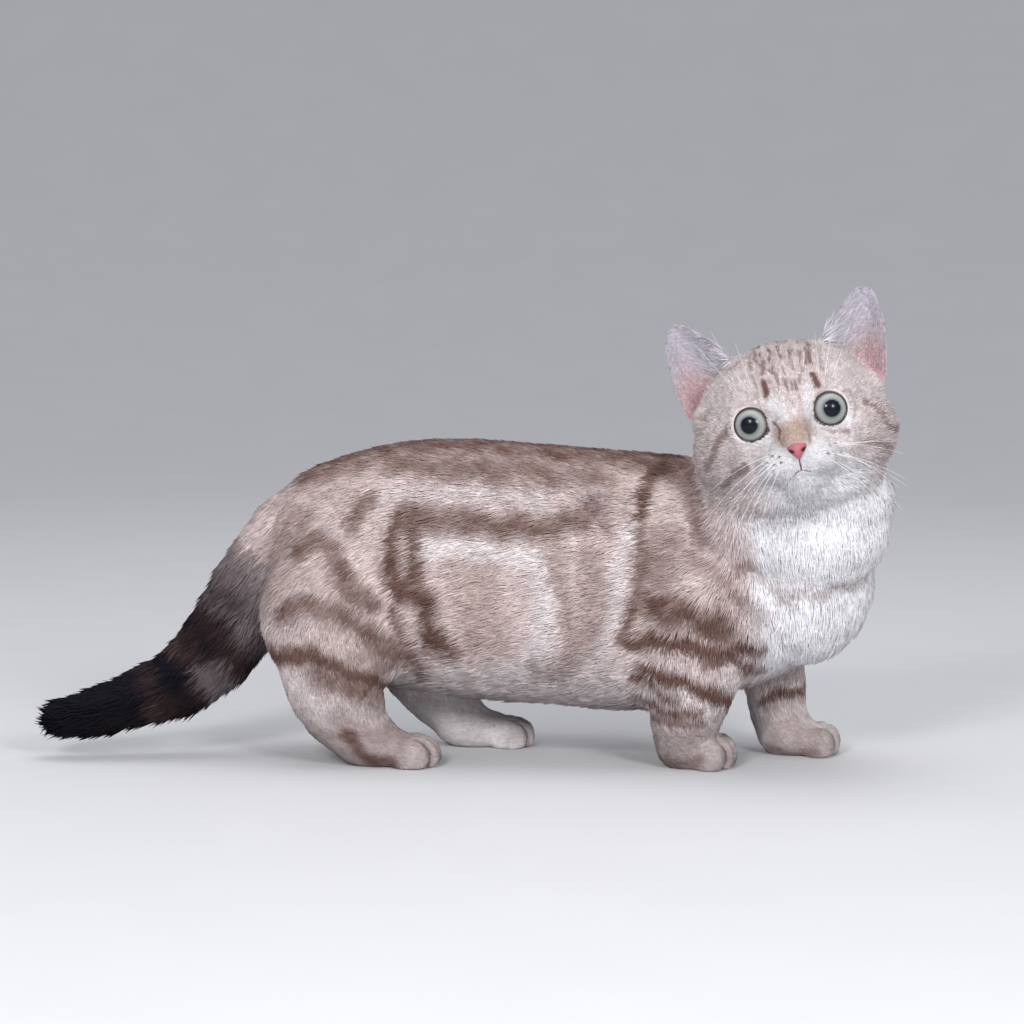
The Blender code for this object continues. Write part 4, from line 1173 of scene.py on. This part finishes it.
def fur_grain_group():
    """Fine streaks and flecks: a colour goes in, a varied colour and a height come out."""
    if "fur_grain" in bpy.data.node_groups:
        return bpy.data.node_groups["fur_grain"]
    group = bpy.data.node_groups.new("fur_grain", "ShaderNodeTree")
    for way, name, kind in (
        ("INPUT", "Color", "Color"), ("INPUT", "Scale", "Float"), ("INPUT", "Contrast", "Float"),
        ("OUTPUT", "Color", "Color"), ("OUTPUT", "Height", "Float"),
    ):
        group.interface.new_socket(name, in_out=way, socket_type="NodeSocket" + kind)
    start, end = group.nodes.new("NodeGroupInput"), group.nodes.new("NodeGroupOutput")
    stretch = add_node(group, "ShaderNodeMapping", Vector=own_place(group), Scale=(0.35, 1.0, 1.0))
    grain = add_node(group, "ShaderNodeTexNoise", Vector=stretch.outputs["Vector"],
                     Scale=start.outputs["Scale"], Detail=3.0, Roughness=0.6).outputs["Fac"]
    least, most = (combine(group, way, 1.0, start.outputs["Contrast"]) for way in ("SUBTRACT", "ADD"))
    factor = add_node(group, "ShaderNodeMapRange", Value=grain, From_Min=0.3, From_Max=0.7,
                      To_Min=least, To_Max=most)
    varied = add_node(group, "ShaderNodeVectorMath", operation="SCALE", Vector=start.outputs["Color"],
                      Scale=factor.outputs["Result"])
    group.links.new(varied.outputs["Vector"], end.inputs["Color"])
    group.links.new(grain, end.inputs["Height"])
    return group


def furry(name, scale, contrast, bump, roughness, **sockets):
    """Fur in the colour that the piece's coat attribute holds, with fine grain."""
    material, tree, shader = new_material(name, roughness=roughness, **sockets)
    paint = add_node(tree, "ShaderNodeAttribute", attribute_name="coat")
    grain = add_node(tree, "ShaderNodeGroup", node_tree=fur_grain_group(), Color=paint.outputs["Color"],
                     Scale=scale, Contrast=contrast)
    tree.links.new(grain.outputs["Color"], shader.inputs["Base Color"])
    add_bump(tree, shader, grain.outputs["Height"], bump, 0.0004)
    return material


class KITTEN_OT_eyes(bpy.types.Operator):
    """Sets the two eyes with iris and pupil, and the bare rims of the lids"""

    bl_idname = "kitten.eyes"
    bl_label = "Eyes"

    def execute(self, context):
        face = context.scene.kitten_face
        gloss = self.eye_material(face)
        rim_finish, _, _ = new_material("lid_rim", face.rim, 0.35, Coat_Weight=0.3)
        for side, sideways in (("left", 1), ("right", -1)):
            ball = self.eyeball(f"eyeball_{side}", face, sideways)
            ball.data.materials.append(gloss)
            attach(ball, "root")
            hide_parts(f"eye_{side}")
            rim = self.lid_rim(f"lid_rim_{side}", face, sideways)
            rim.data.materials.append(rim_finish)
            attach(rim, "root")
        return {"FINISHED"}

    @staticmethod
    def eyeball(name, face, sideways):
        """A ball with a bulging front, which its own map sees straight from the front."""
        ball = new_ball(name, segments=64, rings=48, radius=face.eye_radius)
        mesh = ball.data
        points = vertex_array(mesh)
        radius = np.hypot(points[:, 0], points[:, 1])
        bulge = np.clip(1 - (radius / 0.0072) ** 2, 0, 1) * (points[:, 2] > 0)
        points *= (1 + 0.11 * bulge)[:, None]
        move_vertices(mesh, placed(points, eye_frame(sideways)))
        mesh.uv_layers[0].name = "iris"
        corner = points[all_values(mesh.loops, "vertex_index", 1, np.int64)]
        uv = np.where(corner[:, 2:] < 0, 0.0, 0.5 + corner[:, :2] / (2 * face.eye_radius))
        mesh.uv_layers[0].data.foreach_set("uv", uv.astype(np.float32).ravel())
        return ball

    @staticmethod
    def lid_rim(name, face, sideways):
        """A thin closed ring round the opening, drawn out at the inner corner."""
        count, around, thick = 72, 8, 0.00038
        ball = math.sqrt(face.eye_radius ** 2 - face.opening ** 2)
        angle = np.arange(count) * 2 * math.pi / count
        out = np.stack([np.cos(angle), np.sin(angle), 0 * angle], axis=1)
        corner, reach = lid_opening(out[:, 0], out[:, 1], sideways, face)
        middle = out * reach[:, None] + (0, 0, ball + 0.0002)
        turn = np.arange(around) * 2 * math.pi / around
        spoke = np.cos(turn)[:, None] * out[:, None, :] + np.sin(turn)[:, None] * np.array((0, 0, 1.0))
        points = middle[:, None, :] + spoke * (thick * (1 + 0.7 * corner))[:, None, None]
        faces = []
        for k in range(count):
            p, q = k * around, (k + 1) % count * around
            for j in range(around):
                n = (j + 1) % around
                faces += [(p + j, q + j, q + n), (p + j, q + n, p + n)]
        return linked(mesh_from_arrays(name, placed(points.reshape(-1, 3), eye_frame(sideways)), faces))

    @staticmethod
    def eye_material(face):
        material, tree, shader = new_material(
            "eye", roughness=0.30, Coat_Weight=0.22, Coat_Roughness=0.02, Specular_IOR_Level=0.1)
        vector = {"kind": "ShaderNodeVectorMath"}
        place = add_node(tree, "ShaderNodeUVMap", uv_map="iris")
        centred = combine(tree, "SUBTRACT", place.outputs["UV"], (0.5, 0.5, 0.0), **vector)
        away = add_node(tree, "ShaderNodeVectorMath", operation="LENGTH", Vector=centred)
        streaks = add_node(
            tree, "ShaderNodeTexNoise", Vector=combine(tree, "NORMALIZE", centred, **vector),
            Scale=9.0, Detail=4.0, Roughness=0.65)
        waver = combine(tree, "MULTIPLY_ADD", streaks.outputs["Fac"], 0.05, -0.025)
        radius = combine(tree, "ADD", away.outputs["Value"], waver)
        ramp = add_node(tree, "ShaderNodeValToRGB", Fac=radius)
        pupil, iris = (size / (2 * face.eye_radius) for size in (face.pupil_radius, face.iris_radius))
        colour = np.array(face.iris)
        stops = (
            (0.0, (0.003, 0.004, 0.010)),
            (pupil * 0.93, (0.004, 0.005, 0.012)),
            (pupil * 1.06, colour * 0.55),
            (pupil * 1.35, colour * 1.05),
            (pupil + (iris - pupil) * 0.62, colour * 1.10),
            (iris * 0.90, colour * 0.92),
            (iris * 0.985, (0.09, 0.075, 0.062)),
            (iris * 1.08, (0.03, 0.02, 0.018)),
        )
        for position, _ in stops[2:]:
            ramp.color_ramp.elements.new(position)
        for element, (position, tint) in zip(ramp.color_ramp.elements, stops):
            element.position = position
            element.color = (*tint, 1)
        tree.links.new(ramp.outputs["Color"], shader.inputs["Base Color"])
        return material


def tube_mesh(name, lines, sides=6):
    """Round closed tubes along rows of (point, radius) pairs, in one mesh."""
    points, faces = [], []
    turns = np.arange(sides) * 2 * math.pi / sides
    for line in lines:
        spots = np.array([spot for spot, _ in line], dtype=float)
        last, start = len(spots) - 1, len(points)
        guide = None
        for i, (spot, (_, radius)) in enumerate(zip(spots, line)):
            ahead = spots[min(i + 1, last)] - spots[max(i - 1, 0)]
            ahead = ahead / max(np.linalg.norm(ahead), 1e-12)
            if guide is None:
                guide = np.cross(ahead, (0.31, 0.24, 0.92))
            across = guide - ahead * (guide @ ahead)
            guide = across / max(np.linalg.norm(across), 1e-12)
            over = np.cross(ahead, guide)
            points += [spot + radius * (math.cos(a) * guide + math.sin(a) * over) for a in turns]
        head, tail = len(points), len(points) + 1
        points += [spots[0], spots[-1]]
        for k in range(sides):
            n = (k + 1) % sides
            for p in range(start, start + last * sides, sides):
                q = p + sides
                faces += [(p + k, p + n, q + n), (p + k, q + n, q + k)]
            end = start + last * sides
            faces += [(start + n, start + k, head), (end + k, end + n, tail)]
    return mesh_from_arrays(name, points, faces)


class KITTEN_OT_nose_and_mouth(bpy.types.Operator):
    """Sets the nose leather with its nostrils, and draws the line of the mouth"""

    bl_idname = "kitten.nose_and_mouth"
    bl_label = "Nose and mouth"

    def execute(self, context):
        tree = skin_tree(context)
        nose = self.nose(tree)
        nose.data.materials.append(self.nose_material(context.scene.kitten_face.nose))
        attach(nose, "root")
        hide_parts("nose")
        lips, _, _ = new_material("lips", (0.13, 0.065, 0.065), 0.7, Specular_IOR_Level=0.2)
        lines = []
        for name, line in MOUTH.items():
            fine = []
            for t in np.linspace(0, 1, 13):
                x, _, z = (np.interp(t * (len(line) - 1), range(len(line)), row) for row in zip(*line))
                spot, normal = on_skin(tree, x, z)
                end = 1 - t ** 3 if name != "philtrum" else 1
                fine.append((spot + normal * 0.00022, 0.00038 * (0.35 + 0.65 * end)))
            lines.append(fine)
        mouth = linked(tube_mesh("mouth_line", lines))
        mouth.data.materials.append(lips)
        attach(mouth, "root")
        return {"FINISHED"}

    @staticmethod
    def nose(tree):
        """A rounded leaf over the tip of the muzzle, wide above and narrow below, with two nostrils."""
        nose = new_ball("nose_leather_piece", segments=48, rings=32, radius=1.0)
        mesh = nose.data
        spot, _ = on_skin(tree, 0, -14.0)
        front = (HEAD.inverted() @ spot).y + 0.0006
        x, y, z = vertex_array(mesh).T
        width = np.interp(z, (-1, -0.45, 0.1, 0.55, 1), (0.34, 0.62, 1.0, 1.25, 0.9))
        px, pz = x * width * 4.0, z * 3.9 - 14.2
        py = y * 2.3 + 0.10 * px ** 2 + np.where(z > 0, 1.1, 0.4) * z ** 2
        hole = np.full(len(px), 99.0)
        for side in (1, -1):
            off = px - side * 2.6
            hole = np.minimum(hole, np.hypot(off / 1.15, (pz + 14.3 - 0.35 * side * off) / 0.75))
        crease = (1 - smooth_step(0.1, 0.55, np.abs(px))) * (1 - smooth_step(-15.6, -14.2, pz))
        py = py + (y < 0) * (0.7 * (1 - smooth_step(0.45, 1.35, hole)) + 0.35 * crease)
        local = np.stack([px * MM, py * MM + front, pz * MM], axis=1)
        move_vertices(mesh, placed(local, HEAD))
        # Painted shade: how far each point lies in a nostril's opening, where the nose material turns the
        # leather near black
        keep_values(mesh, "nostril_shade", (1 - smooth_step(0.75, 1.35, hole)) * (y < 0), "FLOAT")
        return nose

    @staticmethod
    def nose_material(colour):
        material, tree, shader = new_material("nose_skin", colour, 0.55, Specular_IOR_Level=0.30)
        place = own_place(tree)
        nostril_shade = add_node(tree, "ShaderNodeAttribute", attribute_name="nostril_shade")
        pores = add_node(tree, "ShaderNodeTexVoronoi", Vector=place, Scale=2600.0)
        blotch = add_node(tree, "ShaderNodeTexNoise", Vector=place, Scale=500.0)
        base = mixed(tree, blotch.outputs["Fac"], colour, [c * 0.72 for c in colour])
        # Painted shade in the nostrils' openings, which also dip into the leather
        nostril_shaded = mixed(tree, nostril_shade.outputs["Fac"], base, (0.03, 0.008, 0.010))
        tree.links.new(nostril_shaded, shader.inputs["Base Color"])
        add_bump(tree, shader, pores.outputs["Distance"], 0.35, 0.0002)
        return material


class KITTEN_OT_whiskers(bpy.types.Operator):
    """Sets the whiskers and brow hairs, thick at the root and fine at the tip"""

    bl_idname = "kitten.whiskers"
    bl_label = "Whiskers"

    def execute(self, context):
        tree = skin_tree(context)
        lines = []
        for x, z, out, drop, reach, curl in WHISKERS:
            start = to_head(np.array([on_skin(tree, x, z)[0]])) / MM
            down = math.radians(drop)
            way = unit(np.array([(out * math.cos(down), -0.30, -math.sin(down))]))
            t = np.linspace(0, 1, 12)[:, None]
            line = start + way * reach * t + np.array((0, 0.22, -curl)) * reach * t ** 2
            line = line + np.array((0, -0.2, 0)) * (1 - t)
            lines.append(list(zip(placed(line * MM, HEAD), 0.00007 * (1 - 0.6 * t[:, 0]))))
        whiskers = linked(tube_mesh("whiskers", lines, sides=5))
        finish, _, _ = new_material("whisker", (0.88, 0.87, 0.88), 0.35, Specular_IOR_Level=0.5)
        whiskers.data.materials.append(finish)
        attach(whiskers, "root")
        return {"FINISHED"}


def area_light(name, place, aim, size, power):
    light = bpy.data.lights.new(name, "AREA")
    light.shape = "SQUARE"
    light.size = size
    light.energy = power
    lamp = bpy.data.objects.new(name, light)
    bpy.context.scene.collection.objects.link(lamp)
    lamp.location = place
    lamp.rotation_euler = (Vector(aim) - Vector(place)).to_track_quat("-Z", "Y").to_euler()


class KITTEN_OT_stage(bpy.types.Operator):
    """Sets the camera, the pale floor and the soft light"""

    bl_idname = "kitten.stage"
    bl_label = "Stage"

    def execute(self, context):
        stage, scene = context.scene.kitten_stage, context.scene
        lens = bpy.data.cameras.new("camera")
        lens.sensor_width = 36
        lens.lens = 36 * stage.distance / stage.view_width
        lens.clip_start = 0.01
        camera = bpy.data.objects.new("camera", lens)
        scene.collection.objects.link(camera)
        out, up = stage.distance * math.cos(stage.elevation), stage.distance * math.sin(stage.elevation)
        camera.location = Vector((0, -out, up)) + AIM
        camera.rotation_euler = (math.radians(90) - stage.elevation, 0, 0)
        scene.camera = camera
        floor = self.bowl()
        material, tree, shader = new_material("floor_paint", stage.floor, 0.7)
        cloud = add_node(tree, "ShaderNodeTexNoise", Vector=own_place(tree), Scale=14.0, Detail=4.0)
        tones = ([c * share for c in stage.floor] for share in (0.97, 1.03))
        tree.links.new(mixed(tree, cloud.outputs["Fac"], *tones), shader.inputs["Base Color"])
        floor.data.materials.append(material)
        area_light("key_left", (-0.50, -1.45, 0.85), (0.02, 0, 0.10), size=0.40, power=17)
        area_light("key_right", (0.75, -1.40, 0.75), (0.08, 0, 0.10), size=0.40, power=15)
        area_light("top", (0.0, 0.1, 1.7), (0.0, 0.0, 0.1), size=1.2, power=10)
        world = bpy.data.worlds.new("studio")
        world.use_nodes = True
        sky = world.node_tree.nodes["Background"].inputs
        sky["Color"].default_value = (0.86, 0.88, 0.92, 1)
        sky["Strength"].default_value = 0.62
        scene.world = world
        scene.view_settings.view_transform = "Standard"
        return {"FINISHED"}

    @staticmethod
    def bowl():
        """A round floor that curves up into a low wall, so that no horizon shows."""
        flat, curve, steps = 1.5, 2.2, 12
        turns = [math.pi / 2 * k / steps for k in range(steps + 1)]
        rows = [(0.6, 0.0)] + [(flat + curve * math.sin(a), curve * (1 - math.cos(a)) * 0.75) for a in turns]
        deselect()
        bpy.ops.mesh.primitive_circle_add(vertices=96, radius=rows[0][0], fill_type="TRIFAN")
        floor = bpy.context.active_object
        floor.name = "floor"
        bm = bmesh.new()
        bm.from_mesh(floor.data)
        edge = [e for e in bm.edges if e.is_boundary]
        for (inner, _), (outer, high) in zip(rows, rows[1:]):
            grown = bmesh.ops.extrude_edge_only(bm, edges=edge)["geom"]
            for vertex in (g for g in grown if isinstance(g, bmesh.types.BMVert)):
                vertex.co.x *= outer / inner
                vertex.co.y *= outer / inner
                vertex.co.z = high
            edge = [g for g in grown if isinstance(g, bmesh.types.BMEdge) and g.is_boundary]
        bmesh.ops.recalc_face_normals(bm, faces=bm.faces[:])
        bm.to_mesh(floor.data)
        bm.free()
        choose(floor)
        bpy.ops.object.shade_smooth()
        return floor


class KITTEN_PT_panel(bpy.types.Panel):
    """Shows the kitten's settings and the buttons that make its pieces"""

    bl_idname = "KITTEN_PT_panel"
    bl_label = "Kitten"
    bl_space_type = "VIEW_3D"
    bl_region_type = "UI"
    bl_category = "Kitten"

    def draw(self, context):
        for settings in (context.scene.kitten_coat, context.scene.kitten_face, context.scene.kitten_stage):
            box = self.layout.box()
            for key in settings.bl_rna.properties.keys():
                if key not in ("rna_type", "name"):
                    box.prop(settings, key)
        for maker in MAKERS:
            self.layout.operator(maker.bl_idname)


MAKERS = (KITTEN_OT_skin, KITTEN_OT_coat, KITTEN_OT_eyes, KITTEN_OT_nose_and_mouth, KITTEN_OT_whiskers,
          KITTEN_OT_stage)
CLASSES = (CoatSettings, FaceSettings, StageSettings, *MAKERS, KITTEN_PT_panel)


def register():
    for kind in CLASSES:
        bpy.utils.register_class(kind)
    bpy.types.Scene.kitten_coat = bpy.props.PointerProperty(type=CoatSettings)
    bpy.types.Scene.kitten_face = bpy.props.PointerProperty(type=FaceSettings)
    bpy.types.Scene.kitten_stage = bpy.props.PointerProperty(type=StageSettings)


def unregister():
    del bpy.types.Scene.kitten_coat
    del bpy.types.Scene.kitten_face
    del bpy.types.Scene.kitten_stage
    for kind in reversed(CLASSES):
        bpy.utils.unregister_class(kind)


def main():
    register()
    bpy.ops.kitten.skin()
    bpy.ops.kitten.coat()
    bpy.ops.kitten.eyes()
    bpy.ops.kitten.nose_and_mouth()
    bpy.ops.kitten.whiskers()
    bpy.ops.kitten.stage()


if __name__ == "__main__":
    main()
